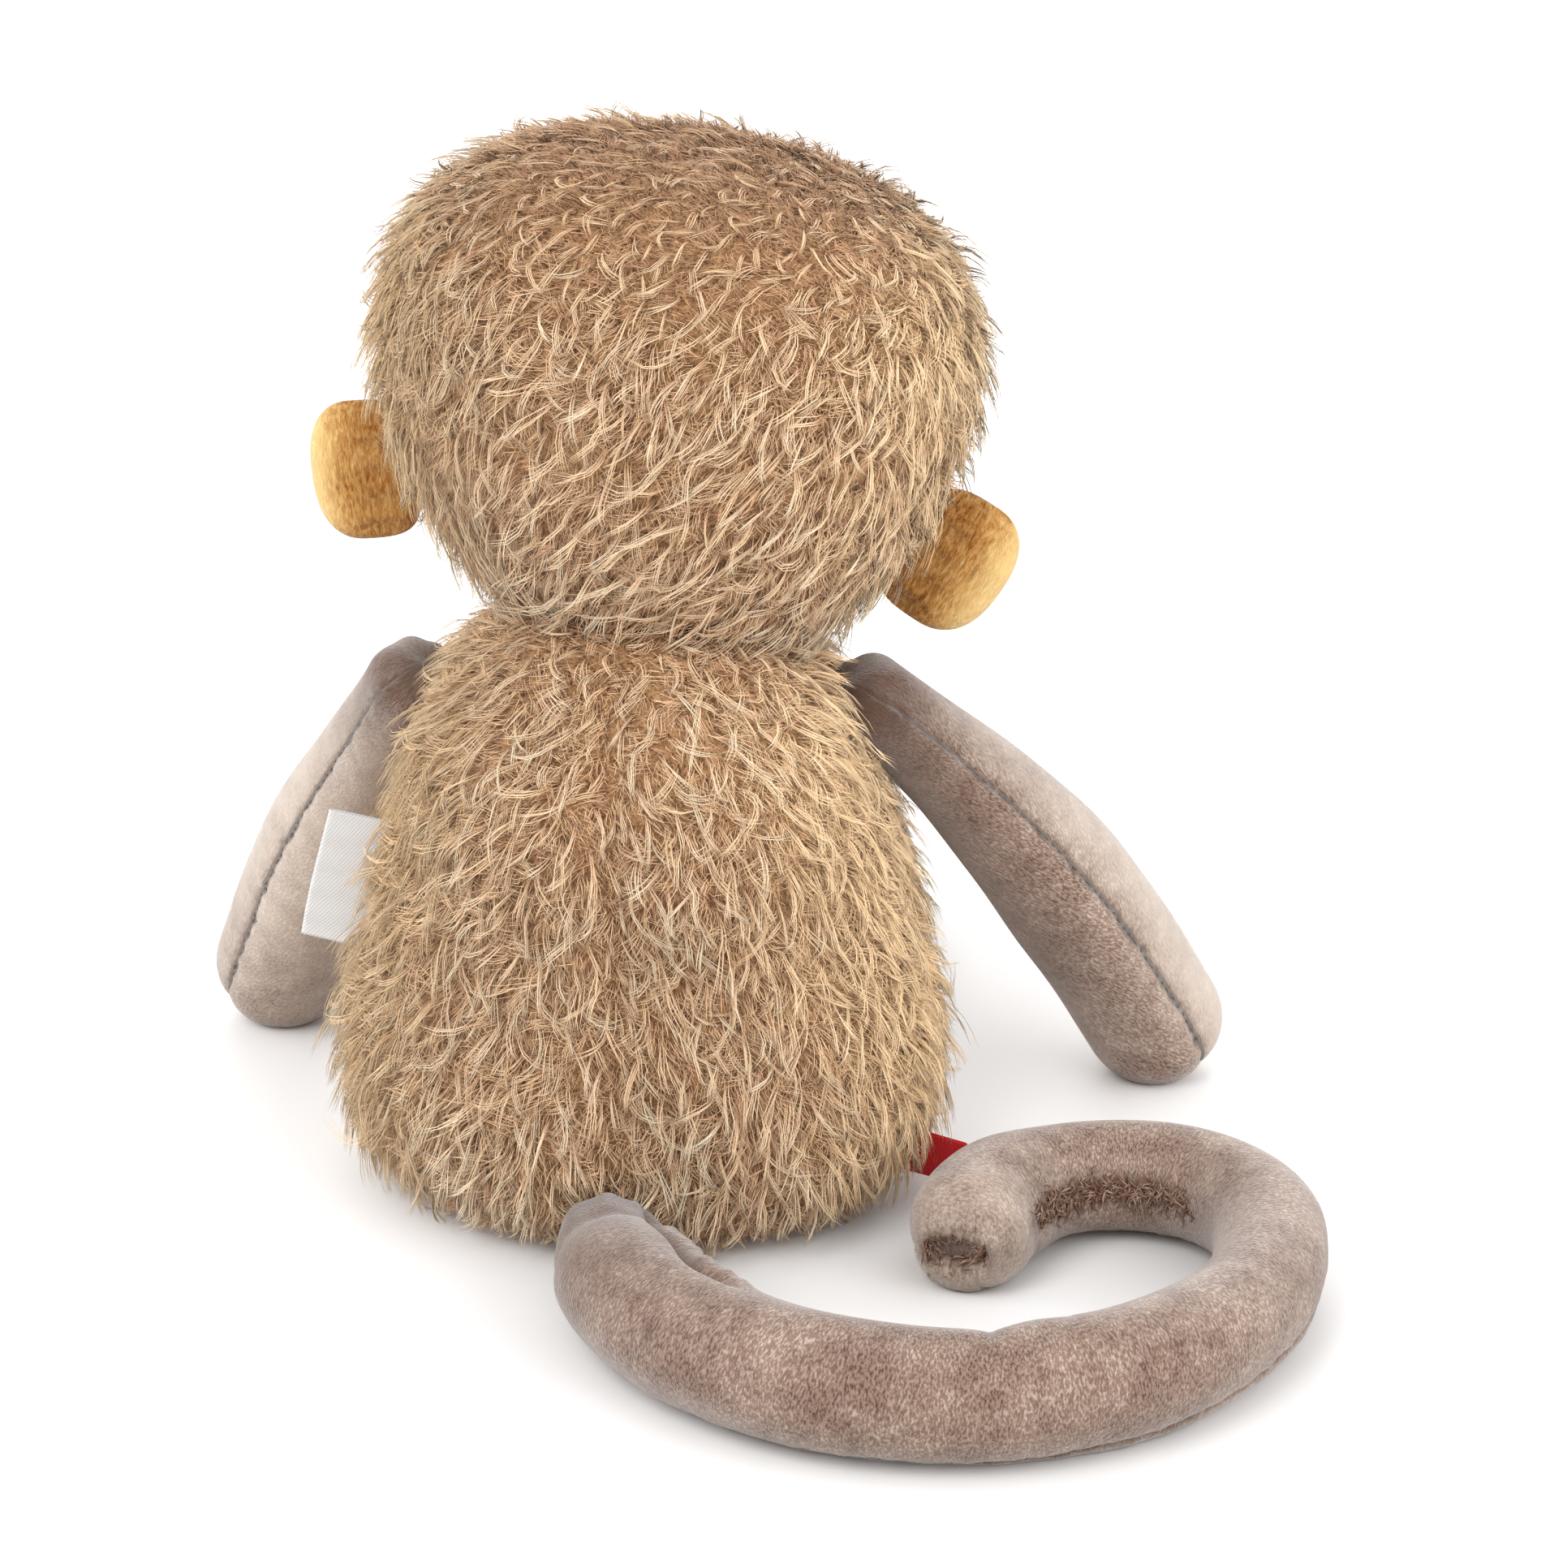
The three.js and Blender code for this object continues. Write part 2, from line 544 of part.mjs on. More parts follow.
// The two sides of a seam that follows a bowed path, each a thick slab swept along it
function sidesAlong(path, across, sign) {
  return [sign, -sign].map((way) => {
    const corners = [];
    const triangles = [];
    const stations = LIMB_STEPS + 1;
    for (let i = 0; i <= stations; i += 1) {
      const share = (i - 0.5) / LIMB_STEPS;
      const u = THREE.MathUtils.clamp(share, 0, 1);
      const tangent = path.getTangentAt(u);
      const side = across.clone().addScaledVector(tangent, -across.dot(tangent)).normalize();
      const other = tangent.clone().cross(side).multiplyScalar(way);
      const past = (share - u) * 4 * ARM_LENGTH;
      const middle = path.getPointAt(u).addScaledVector(tangent, past);
      for (const [a, b] of [[-1, 0], [1, 0], [1, 1], [-1, 1]]) {
        corners.push(middle.clone()
          .addScaledVector(side, a * 2 * PAW_RADIUS)
          .addScaledVector(other, SEAM_GAP / 2 + b * 2 * PAW_RADIUS));
      }
    }
    for (let i = 0; i < stations; i += 1) {
      for (let k = 0; k < 4; k += 1) {
        const [a, b] = [4 * i + k, 4 * i + ((k + 1) % 4)];
        triangles.push(a, b, b + 4, a, b + 4, a + 4);
      }
    }
    const last = 4 * stations;
    triangles.push(2, 1, 0, 3, 2, 0, last, last + 1, last + 2, last, last + 2, last + 3);
    if (way < 0) triangles.reverse();
    const geometry = new THREE.BufferGeometry();
    geometry.setAttribute('position', new THREE.Float32BufferAttribute(corners.flatMap((p) => p.toArray()), 3));
    geometry.setIndex(triangles);
    return solidOf(geometry);
  });
}

const aboveFloor = (height) => sideAlong('z', height, 1);

// A path from a root to a tip that lies on the floor, turned outwards by an angle and bowed upwards
function restingPath(root, length, tipRadius, turn, side, bow) {
  const drop = root.z - (tipRadius - FLOOR_FLAT);
  const reach = Math.sqrt(length ** 2 - drop ** 2);
  const angle = radians(turn);
  const tip = root.clone().add(new THREE.Vector3(
    side * reach * Math.sin(angle), -reach * Math.cos(angle), -drop,
  ));
  const along = tip.clone().sub(root).normalize();
  const bowWay = UP.clone().addScaledVector(along, -along.z).normalize();
  const middle = root.clone().lerp(tip, 0.5).addScaledVector(bowWay, 2 * bow);
  return new THREE.QuadraticBezierCurve3(root, middle, tip);
}

function makeArm(name, side, turn, bow) {
  const shoulder = new THREE.Vector3(side * SHOULDER_SIDE, -SHOULDER_FORWARD, SHOULDER_HEIGHT);
  const seamWay = new THREE.Vector3(side, 1, 0).normalize();
  const path = restingPath(shoulder, ARM_LENGTH, PAW_RADIUS, turn, side, bow);
  const radiusAt = (u) => ARM_ROOT_RADIUS + (PAW_RADIUS - ARM_ROOT_RADIUS) * smooth(u * 1.15);
  const swing = shoulder.clone().sub(neckPivot).normalize();
  const lowest = new THREE.Matrix4().makeTranslation(shoulder.x, shoulder.y, shoulder.z)
    .multiply(new THREE.Matrix4().makeRotationAxis(swing, -side * radians(-ARM_LOWEST_SWING)))
    .multiply(new THREE.Matrix4().makeTranslation(-shoulder.x, -shoulder.y, -shoulder.z));
  const clear = pearForm(-SEAT_GAP)
    .add(ball(neckPivot, NECK_BALL_RADIUS + SEAT_GAP, 2 * FINE_SEGMENTS))
    .add(pearForm(-SEAT_GAP).transform(lowest.toArray()));
  const form = (inset, sides) => tube({
    path, radiusAt, inset, across: seamWay, phase: 0.5, sides, steps: LIMB_STEPS,
  }).intersect(aboveFloor(inset));
  addLimb(`arm_${name}`, form, clear, ['outer', 'inner'], sidesAlong(path, seamWay, side));
}

function makeLeg(name, side, hip) {
  const path = restingPath(hip, LEG_LENGTH, FOOT_RADIUS, LEG_TURN, side, LEG_BOW);
  const radiusAt = (u) => LEG_ROOT_RADIUS + (FOOT_RADIUS - LEG_ROOT_RADIUS) * smooth(u);
  const clear = bodyForm(-FILL_GAP).subtract(ball(hip, LEG_ROOT_RADIUS + SEAT_GAP));
  const form = (inset, sides) => tube({
    path, radiusAt, inset, sides, steps: LIMB_STEPS,
  }).intersect(aboveFloor(inset));
  addLimb(`leg_${name}`, form, clear, ['upper', 'lower'], levelSides(hip.z));
}

// The tail's middle line, worked out by walking along it and turning as it goes
const tailSweep = TAIL_SWEEP_RADIUS * radians(TAIL_SWEEP_ANGLE);
const tailCurl = TAIL_CURL_RADIUS * radians(TAIL_CURL_ANGLE);
const tailLength = TAIL_ROOT_LENGTH + tailSweep + tailCurl;
const tailRadiusAt = (u) => {
  const gather = (TAIL_FULL_RADIUS - TAIL_ROOT_RADIUS) * (1 - smooth((u * tailLength) / TAIL_SWELL_LENGTH));
  return TAIL_FULL_RADIUS + (TAIL_TIP_RADIUS - TAIL_FULL_RADIUS) * u - gather;
};

function tailPath() {
  const steps = 48;
  const stride = tailLength / steps;
  const points = [tailPivot.clone()];
  let heading = QUARTER_TURN + radians(TAIL_ROOT_TURN);
  for (let i = 1; i <= steps; i += 1) {
    const walked = (i - 0.5) * stride;
    if (walked > TAIL_ROOT_LENGTH) {
      heading += stride / (walked > TAIL_ROOT_LENGTH + tailSweep ? TAIL_CURL_RADIUS : TAIL_SWEEP_RADIUS);
    }
    const next = points[i - 1].clone();
    next.x += stride * Math.cos(heading);
    next.y += stride * Math.sin(heading);
    next.z = tailRadiusAt(i / steps) - FLOOR_FLAT;
    points.push(next);
  }
  return new THREE.CatmullRomCurve3(points);
}

function makeTail() {
  const path = tailPath();
  const jointShare = TAIL_JOINT_AT / tailLength;
  const jointRadius = tailRadiusAt(jointShare);
  const jointPoint = path.getPointAt(jointShare);
  const rootEnd = jointShare - (jointRadius * Math.sin(radians(TAIL_JOINT_TURN))) / tailLength;
  const socket = ball(jointPoint, jointRadius + SEAT_GAP);
  const clear = bodyForm(-FILL_GAP).subtract(ball(tailPivot, TAIL_ROOT_RADIUS + SEAT_GAP));
  const rootForm = (inset, sides) => tube({
    path, to: rootEnd + (inset > 0 ? CUT_PAST / tailLength : 0), radiusAt: tailRadiusAt,
    inset, sides, steps: LIMB_STEPS * 2, flatEnd: true,
  }).intersect(aboveFloor(inset));
  addLimb('tail_root', rootForm, clear.add(socket), ['upper', 'lower'], levelSides(TAIL_SEAM_HEIGHT));
  const endForm = (inset, sides) => tube({
    path, from: jointShare, radiusAt: tailRadiusAt, inset, sides, steps: LIMB_STEPS * 2,
  }).intersect(aboveFloor(inset));
  addLimb('tail_end', endForm, clear, ['upper', 'lower'], levelSides(TAIL_SEAM_HEIGHT));
  return jointPoint;
}

// A folded ribbon that stands out of the side seam between two heights
function makeRibbon(name, side, bottom, length, reach, material) {
  const low = side * bodyWidthAt(bottom);
  const high = side * bodyWidthAt(bottom + length);
  const outline = new THREE.Shape([
    new THREE.Vector2(0, bottom),
    new THREE.Vector2(low + side * reach, bottom),
    new THREE.Vector2(high + side * reach, bottom + length),
    new THREE.Vector2(0, bottom + length),
  ]);
  const strip = new THREE.ExtrudeGeometry(outline, { depth: LABEL_THICKNESS, bevelEnabled: false });
  strip.rotateX(QUARTER_TURN);
  strip.translate(0, SIDE_SEAM_DEPTH + LABEL_THICKNESS / 2, 0);
  toy.add(meshOf(name, solidOf(strip).subtract(bodyForm(-FILL_GAP)), material));
}

makeBody();
makeNeckThread();
makeHead();
makeMuzzle();
makeEar('left', 1);
makeEar('right', -1);
makeArm('left', 1, LEFT_ARM_TURN, LEFT_ARM_BOW);
makeArm('right', -1, RIGHT_ARM_TURN, RIGHT_ARM_BOW);
makeLeg('left', 1, hips[0]);
makeLeg('right', -1, hips[1]);
makeTail();
makeRibbon('side_label', 1, LABEL_BOTTOM, LABEL_LENGTH, LABEL_REACH, satin);
makeRibbon('red_tag', -1, TAG_BOTTOM, TAG_LENGTH, TAG_REACH, ribbon);

export default toy;
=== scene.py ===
# %% [markdown]
# # A stuffed monkey, seen from behind
# The monkey sits on a plain floor with its back to us. Its head and body are long curly fur, its arms, legs and
# tail are short velvety plush, and a satin label and a ribbon tag stand out of its side seams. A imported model
# already holds every piece at its real place, so this lesson dresses that model, one sewn piece at a time.

import bpy
import numpy as np
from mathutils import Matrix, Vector


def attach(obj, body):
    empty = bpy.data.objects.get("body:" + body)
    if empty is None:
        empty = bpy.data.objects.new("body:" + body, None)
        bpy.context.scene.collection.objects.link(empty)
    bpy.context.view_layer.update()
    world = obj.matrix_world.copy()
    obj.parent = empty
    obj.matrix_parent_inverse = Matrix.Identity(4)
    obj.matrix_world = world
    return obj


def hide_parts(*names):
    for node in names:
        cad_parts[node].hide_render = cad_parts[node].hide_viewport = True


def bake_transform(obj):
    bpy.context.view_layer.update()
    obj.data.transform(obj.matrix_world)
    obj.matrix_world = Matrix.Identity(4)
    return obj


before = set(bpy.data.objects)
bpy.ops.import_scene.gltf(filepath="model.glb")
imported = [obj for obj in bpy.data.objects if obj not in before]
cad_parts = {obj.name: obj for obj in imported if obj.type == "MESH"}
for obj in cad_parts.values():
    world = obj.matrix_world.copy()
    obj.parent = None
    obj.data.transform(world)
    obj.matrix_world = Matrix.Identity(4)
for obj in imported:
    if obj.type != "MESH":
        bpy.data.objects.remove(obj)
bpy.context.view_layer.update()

MM = 0.001

# %% [markdown]
# ## The camera
# The photograph was taken from behind, a little above, with a long lens. A long lens makes near and far parts
# almost the same size, so the camera stands well back.

# %% Set the camera
VIEW_TURN = np.radians(185.7)
VIEW_RISE = np.radians(23.0)
VIEW_DISTANCE = 1.4
VIEW_CENTRE = Vector((-0.034, 0.0, 0.102))
LENS = 135.7

backwards = Vector((
    np.sin(VIEW_TURN) * np.cos(VIEW_RISE), -np.cos(VIEW_TURN) * np.cos(VIEW_RISE), np.sin(VIEW_RISE),
))
camera = bpy.data.objects.new("camera", bpy.data.cameras.new("camera"))
camera.data.lens = LENS
camera.data.sensor_width = 36
camera.location = VIEW_CENTRE + backwards * VIEW_DISTANCE
camera.rotation_euler = backwards.to_track_quat("Z", "Y").to_euler()
scene = bpy.context.scene
scene.collection.objects.link(camera)
scene.camera = camera
scene.view_settings.view_transform = "Standard"
print("camera at", [round(v, 3) for v in camera.location])

# %% [markdown]
# ## Colours
# Picture editors give colours in sRGB, from 0 to 255, while a shader works in linear light. One small helper
# turns the first into the second, so that every colour below can be written as it looks.

# %% Colour helper
def srgb(red, green, blue):
    """Linear colour of an sRGB one: (c + 0.055) / 1.055 to the power 2.4, with c from 0 to 1."""
    share = np.array([red, green, blue]) / 255
    return (*(((share + 0.055) / 1.055) ** 2.4).tolist(), 1.0)


# %% [markdown]
# ## Node groups
# Fur, plush and ribbon share a few effects: soft patches of lighter and darker cloth, painted light and shade,
# a fine nap, and a weave. Each effect is a node group that is built once. A group gives out colours and heights
# only, and the Principled shader stays in the material.

# %% Node helpers
def new_group(name, inputs, outputs):
    """An empty node group with named sockets, given as (name, type, default)."""
    tree = bpy.data.node_groups.new(name, "ShaderNodeTree")
    for title, kind, value in inputs:
        socket = tree.interface.new_socket(name=title, in_out="INPUT", socket_type=kind)
        socket.default_value = value
    for title, kind in outputs:
        tree.interface.new_socket(name=title, in_out="OUTPUT", socket_type=kind)
    return tree, tree.nodes.new("NodeGroupInput"), tree.nodes.new("NodeGroupOutput")


def noise(tree, vector, scale, detail=2.0, roughness=0.5):
    """A noise texture on a vector, which gives values round 0.5."""
    node = tree.nodes.new("ShaderNodeTexNoise")
    node.inputs["Detail"].default_value = detail
    node.inputs["Roughness"].default_value = roughness
    if isinstance(scale, (int, float)):
        node.inputs["Scale"].default_value = scale
    else:
        tree.links.new(scale, node.inputs["Scale"])
    tree.links.new(vector, node.inputs["Vector"])
    return node.outputs["Fac"]


def spread(tree, value, low, high, to_low=0.0, to_high=1.0):
    """A value moved from one range to another, and held inside it."""
    node = tree.nodes.new("ShaderNodeMapRange")
    settings = {"From Min": low, "From Max": high, "To Min": to_low, "To Max": to_high}
    for title, number in settings.items():
        node.inputs[title].default_value = number
    tree.links.new(value, node.inputs["Value"])
    return node.outputs["Result"]


def blend_colours(tree, factor, first, second):
    """Two colours mixed by a factor; each colour is a socket or a plain colour."""
    node = tree.nodes.new("ShaderNodeMix")
    node.data_type = "RGBA"
    for socket, value in ((node.inputs[0], factor), (node.inputs[6], first), (node.inputs[7], second)):
        if isinstance(value, bpy.types.NodeSocket):
            tree.links.new(value, socket)
        else:
            socket.default_value = value
    return node.outputs[2]


def sums(tree, operation, first, second):
    """One arithmetic step on two values, each a socket or a number."""
    node = tree.nodes.new("ShaderNodeMath")
    node.operation = operation
    for socket, value in zip(node.inputs, (first, second)):
        if isinstance(value, bpy.types.NodeSocket):
            tree.links.new(value, socket)
        else:
            socket.default_value = value
    return node.outputs[0]


# %% Build the groups
COLOUR, NUMBER, VECTOR = "NodeSocketColor", "NodeSocketFloat", "NodeSocketVector"

nap_group, nap_in, nap_out = new_group(
    "short nap",
    [("Nap", VECTOR, (0, 0, 0)), ("Position", VECTOR, (0, 0, 0)), ("Seam", NUMBER, 0.0), ("Brush", NUMBER, 0.0),
     ("Pile", COLOUR, (1, 1, 1, 1)), ("Shade", COLOUR, (1, 1, 1, 1)), ("Bright", COLOUR, (1, 1, 1, 1)),
     ("Tufts", NUMBER, 1000.0)],
    [("Color", COLOUR), ("Height", NUMBER)],
)
strokes = noise(nap_group, nap_in.outputs["Nap"], nap_in.outputs["Tufts"], 3.0, 0.65)
FINGER_MARKS, HAND_MARKS = (150.0, 0.55), (40.0, 0.45)
pressed, brushed = (
    sums(nap_group, "MULTIPLY", noise(nap_group, nap_in.outputs["Position"], scale), weight)
    for scale, weight in (FINGER_MARKS, HAND_MARKS))
combed = spread(nap_group, sums(nap_group, "ADD", pressed, brushed), 0.38, 0.62)
patches = sums(nap_group, "MULTIPLY", sums(nap_group, "SUBTRACT", combed, 0.5), 0.2)
# The marked painted light and shade, with random patches of tone added to it.
painted_light_and_tone = sums(nap_group, "ADD", nap_in.outputs["Brush"], patches)
hollows = sums(nap_group, "MULTIPLY", spread(nap_group, strokes, 0.53, 0.36),
               sums(nap_group, "SUBTRACT", 1.1, combed))
shaded = blend_colours(nap_group, hollows, nap_in.outputs["Pile"], nap_in.outputs["Shade"])
crests = sums(nap_group, "MULTIPLY", spread(nap_group, strokes, 0.48, 0.68),
              sums(nap_group, "ADD", 0.2, combed))
combed_colour = blend_colours(nap_group, sums(nap_group, "MULTIPLY", crests, 0.7), shaded,
                              nap_in.outputs["Bright"])
# Painted light and shade: lighter towards Bright above 0, darker towards Shade below 0.
lit_colour = blend_colours(nap_group, spread(nap_group, painted_light_and_tone, 0.0, 1.0, 0.0, 0.75), combed_colour,
                           nap_in.outputs["Bright"])
lit_and_shaded_colour = blend_colours(nap_group, spread(nap_group, painted_light_and_tone, 0.0, -1.0, 0.0, 0.65), lit_colour,
                           nap_in.outputs["Shade"])
# Painted shade in seams, creases and folds: the seam mark darkens the nap towards Shade.
seam_shade = sums(nap_group, "MULTIPLY", nap_in.outputs["Seam"], spread(nap_group, strokes, 0.2, 0.6, 1.0, 0.75))
seam_shaded_colour = blend_colours(nap_group, seam_shade, lit_and_shaded_colour, nap_in.outputs["Shade"])
nap_group.links.new(seam_shaded_colour, nap_out.inputs["Color"])
nap_group.links.new(strokes, nap_out.inputs["Height"])

fibre_group, fibre_in, fibre_out = new_group(
    "fur fibre",
    [("Position", VECTOR, (0, 0, 0)), ("Along", NUMBER, 0.5), ("Lock", NUMBER, 0.5), ("Hair", NUMBER, 0.5),
     ("Root", COLOUR, (1, 1, 1, 1)), ("Middle", COLOUR, (1, 1, 1, 1)), ("Tip", COLOUR, (1, 1, 1, 1))],
    [("Color", COLOUR)],
)
rising = blend_colours(fibre_group, spread(fibre_group, fibre_in.outputs["Along"], 0.0, 0.55),
                       fibre_in.outputs["Root"], fibre_in.outputs["Middle"])
deep = blend_colours(fibre_group, spread(fibre_group, fibre_in.outputs["Lock"], 0.16, 0.0, 0.0, 0.65), rising,
                     fibre_in.outputs["Root"])
cloudy = noise(fibre_group, fibre_in.outputs["Position"], 60.0)
hair_share = spread(fibre_group, fibre_in.outputs["Hair"], 0.0, 1.0, 0.45, 1.15)
cloud_share = spread(fibre_group, cloudy, 0.32, 0.68, 0.7, 1.2)
lock_share = sums(fibre_group, "MULTIPLY", fibre_in.outputs["Lock"],
                  sums(fibre_group, "MULTIPLY", hair_share, cloud_share))
along_share = spread(fibre_group, fibre_in.outputs["Along"], 0.08, 0.7)
pale_share = sums(fibre_group, "MULTIPLY", along_share, lock_share)
tipped = blend_colours(fibre_group, pale_share, deep, fibre_in.outputs["Tip"])
fibre_group.links.new(tipped, fibre_out.inputs["Color"])

weave_group, weave_in, weave_out = new_group(
    "ribbon weave",
    [("Position", VECTOR, (0, 0, 0)), ("Yarn", COLOUR, (1, 1, 1, 1)), ("Gap", COLOUR, (0.5, 0.5, 0.5, 1)),
     ("Threads", NUMBER, 500.0)],
    [("Color", COLOUR), ("Height", NUMBER)],
)
twill = weave_group.nodes.new("ShaderNodeTexWave")
twill.wave_type = "BANDS"
twill.bands_direction = "DIAGONAL"
twill.inputs["Distortion"].default_value = 0.6
twill.inputs["Detail"].default_value = 1.0
weave_group.links.new(weave_in.outputs["Position"], twill.inputs["Vector"])
weave_group.links.new(weave_in.outputs["Threads"], twill.inputs["Scale"])
fleck = noise(weave_group, weave_in.outputs["Position"], 1500.0, 1.0)
ridges = sums(weave_group, "ADD", sums(weave_group, "MULTIPLY", twill.outputs["Fac"], 0.8),
              sums(weave_group, "MULTIPLY", fleck, 0.2))
woven = blend_colours(weave_group, ridges, weave_in.outputs["Gap"], weave_in.outputs["Yarn"])
weave_group.links.new(woven, weave_out.inputs["Color"])
weave_group.links.new(ridges, weave_out.inputs["Height"])
print("node groups:", [group.name for group in bpy.data.node_groups])


# %% [markdown]
# ## Materials
# Plush and fur scatter light from millions of fibres. The Principled shader's sheen stands in for the fibre
# ends that catch light at a grazing angle, and a bump from the nap's height breaks the surface up.

# %% Material helpers
def new_material(name, roughness, sheen=0.0, sheen_roughness=0.5, specular=0.5):
    """A material with a Principled shader, whose plain numbers are set on the shader itself."""
    material = bpy.data.materials.new(name)
    material.use_nodes = True
    shader = material.node_tree.nodes["Principled BSDF"]
    shader.inputs["Roughness"].default_value = roughness
    shader.inputs["Specular IOR Level"].default_value = specular
    shader.inputs["Sheen Weight"].default_value = sheen
    shader.inputs["Sheen Roughness"].default_value = sheen_roughness
    return material, material.node_tree, shader


def place_group(tree, group, **values):
    """A group in a material, with its inputs set by name."""
    node = tree.nodes.new("ShaderNodeGroup")
    node.node_tree = group
    for title, value in values.items():
        node.inputs[title].default_value = value
    return node


def bump(tree, shader, height, depth, strength=1.0):
    """A bump of a depth in metres, from a height to the shader's normal."""
    node = tree.nodes.new("ShaderNodeBump")
    node.inputs["Strength"].default_value = strength
    node.inputs["Distance"].default_value = depth
    tree.links.new(height, node.inputs["Height"])
    tree.links.new(node.outputs["Normal"], shader.inputs["Normal"])


def read_mark(tree, name, output):
    """A value marked on the mesh, under its name."""
    node = tree.nodes.new("ShaderNodeAttribute")
    node.attribute_name = name
    return node.outputs[output]


def nap_material(name, pile, shade, bright, tufts=1600.0, depth=0.0005, sheen=0.75):
    """Velvety plush: the nap group on the marked nap, and a sheen that pales it where it is seen edge on."""
    material, tree, shader = new_material(name, 0.9, sheen, 0.35, 0.15)
    nap = place_group(tree, nap_group, Pile=pile, Shade=shade, Bright=bright, Tufts=tufts)
    tree.links.new(read_mark(tree, "nap", "Vector"), nap.inputs["Nap"])
    tree.links.new(tree.nodes.new("ShaderNodeTexCoord").outputs["Object"], nap.inputs["Position"])
    # The seam mark is painted shade; the other mark is painted light and shade.
    tree.links.new(read_mark(tree, "seam", "Fac"), nap.inputs["Seam"])
    tree.links.new(read_mark(tree, "painted_light_and_tone", "Fac"), nap.inputs["Brush"])
    tree.links.new(nap.outputs["Color"], shader.inputs["Base Color"])
    bump(tree, shader, nap.outputs["Height"], depth)
    return material


STAND_SHARE = 0.6
# Share of painted rim light at the toy's two sides.
RIM_LIGHT_SHARE = 0.7


def fur_material(name, root, middle, tip, side):
    """Fur fibre, coloured by the share along each hair and by its lock, with painted rim light at the toy's two
    sides.

    Real fibres let light through, so each is lit partly as the cloth under it: its normal is mixed with the
    direction in which the pile stands."""
    material, tree, shader = new_material(name, 0.6, 0.5, 0.4, 0.25)
    position = tree.nodes.new("ShaderNodeTexCoord").outputs["Object"]
    shares = tree.nodes.new("ShaderNodeSeparateXYZ")
    tree.links.new(read_mark(tree, "pile", "Vector"), shares.inputs[0])
    fibre = place_group(tree, fibre_group, Root=root, Middle=middle, Tip=tip)
    tree.links.new(position, fibre.inputs["Position"])
    for title, socket in zip(("Along", "Lock", "Hair"), shares.outputs):
        tree.links.new(socket, fibre.inputs[title])
    stand = tree.nodes.new("ShaderNodeVectorTransform")
    stand.vector_type, stand.convert_from, stand.convert_to = "NORMAL", "OBJECT", "WORLD"
    stand_mark = read_mark(tree, "stand", "Vector")
    tree.links.new(stand_mark, stand.inputs[0])
    stand_parts = tree.nodes.new("ShaderNodeSeparateXYZ")
    tree.links.new(stand_mark, stand_parts.inputs[0])
    # Painted rim light: fibres on cloth that faces sideways are mixed towards the pale side colour.
    sideways = sums(tree, "ABSOLUTE", stand_parts.outputs[0], 0.0)
    painted_rim_light = spread(tree, sideways, 0.45, 0.9, 0.0, RIM_LIGHT_SHARE)
    tree.links.new(blend_colours(tree, painted_rim_light, fibre.outputs["Color"], side), shader.inputs["Base Color"])
    softened = tree.nodes.new("ShaderNodeMix")
    softened.data_type = "VECTOR"
    softened.inputs[0].default_value = STAND_SHARE
    tree.links.new(tree.nodes.new("ShaderNodeNewGeometry").outputs["Normal"], softened.inputs[4])
    tree.links.new(stand.outputs[0], softened.inputs[5])
    level = tree.nodes.new("ShaderNodeVectorMath")
    level.operation = "NORMALIZE"
    tree.links.new(softened.outputs[1], level.inputs[0])
    tree.links.new(level.outputs[0], shader.inputs["Normal"])
    return material


def weave_material(name, yarn, gap, threads, roughness, sheen=0.0):
    """Woven ribbon: the weave group for colour and height."""
    material, tree, shader = new_material(name, roughness, sheen, 0.3, 0.4)
    position = tree.nodes.new("ShaderNodeTexCoord").outputs["Object"]
    weave = place_group(tree, weave_group, Yarn=yarn, Gap=gap, Threads=threads)
    tree.links.new(position, weave.inputs["Position"])
    tree.links.new(weave.outputs["Color"], shader.inputs["Base Color"])
    bump(tree, shader, weave.outputs["Height"], 0.00006, 0.7)
    return material


def plain_material(name, colour, dark, roughness, scale=300.0, depth=0.0001, specular=0.5):
    """A moulded or spun finish: two close colours mixed by noise, with a faint bump."""
    material, tree, shader = new_material(name, roughness, 0.0, 0.5, specular)
    position = tree.nodes.new("ShaderNodeTexCoord").outputs["Object"]
    cloud = noise(tree, position, scale, 3.0)
    tree.links.new(blend_colours(tree, cloud, dark, colour), shader.inputs["Base Color"])
    bump(tree, shader, cloud, depth, 0.5)
    return material


# %% Mix the materials
# Its last colour is the painted rim light at the toy's two sides.
caramel_fur = fur_material("caramel fur", srgb(184, 130, 92), srgb(253, 206, 160), srgb(255, 241, 210),
                           srgb(255, 216, 164))
# In the plush finishes, Shade is both the dark between the nap's strokes and the painted shade, and Bright both
# the nap's crests and the painted light.
fur_backing = nap_material("fur backing", srgb(190, 144, 102), srgb(136, 96, 62), srgb(230, 186, 140), 1500.0)
taupe_plush = nap_material("taupe plush", srgb(152, 127, 112), srgb(88, 63, 51), srgb(226, 211, 197), 1900.0)
taupe_tufts = nap_material("taupe tufts", srgb(158, 124, 104), srgb(92, 60, 46), srgb(214, 188, 168), 1900.0,
                           sheen=0.1)
mustard_plush = nap_material("mustard plush", srgb(204, 149, 80), srgb(120, 68, 24), srgb(244, 212, 146), 950.0,
                             0.0009, 0.45)
face_plush = nap_material("pale plush", srgb(206, 186, 162), srgb(160, 136, 112), srgb(232, 218, 200))
white_filling = nap_material("white filling", srgb(238, 236, 230), srgb(205, 202, 194), srgb(250, 250, 248),
                             500.0)
white_satin = weave_material("white satin", srgb(222, 222, 222), srgb(200, 200, 200), 620.0, 0.42, 0.1)
red_ribbon = weave_material("red ribbon", srgb(226, 30, 36), srgb(186, 16, 24), 800.0, 0.55)
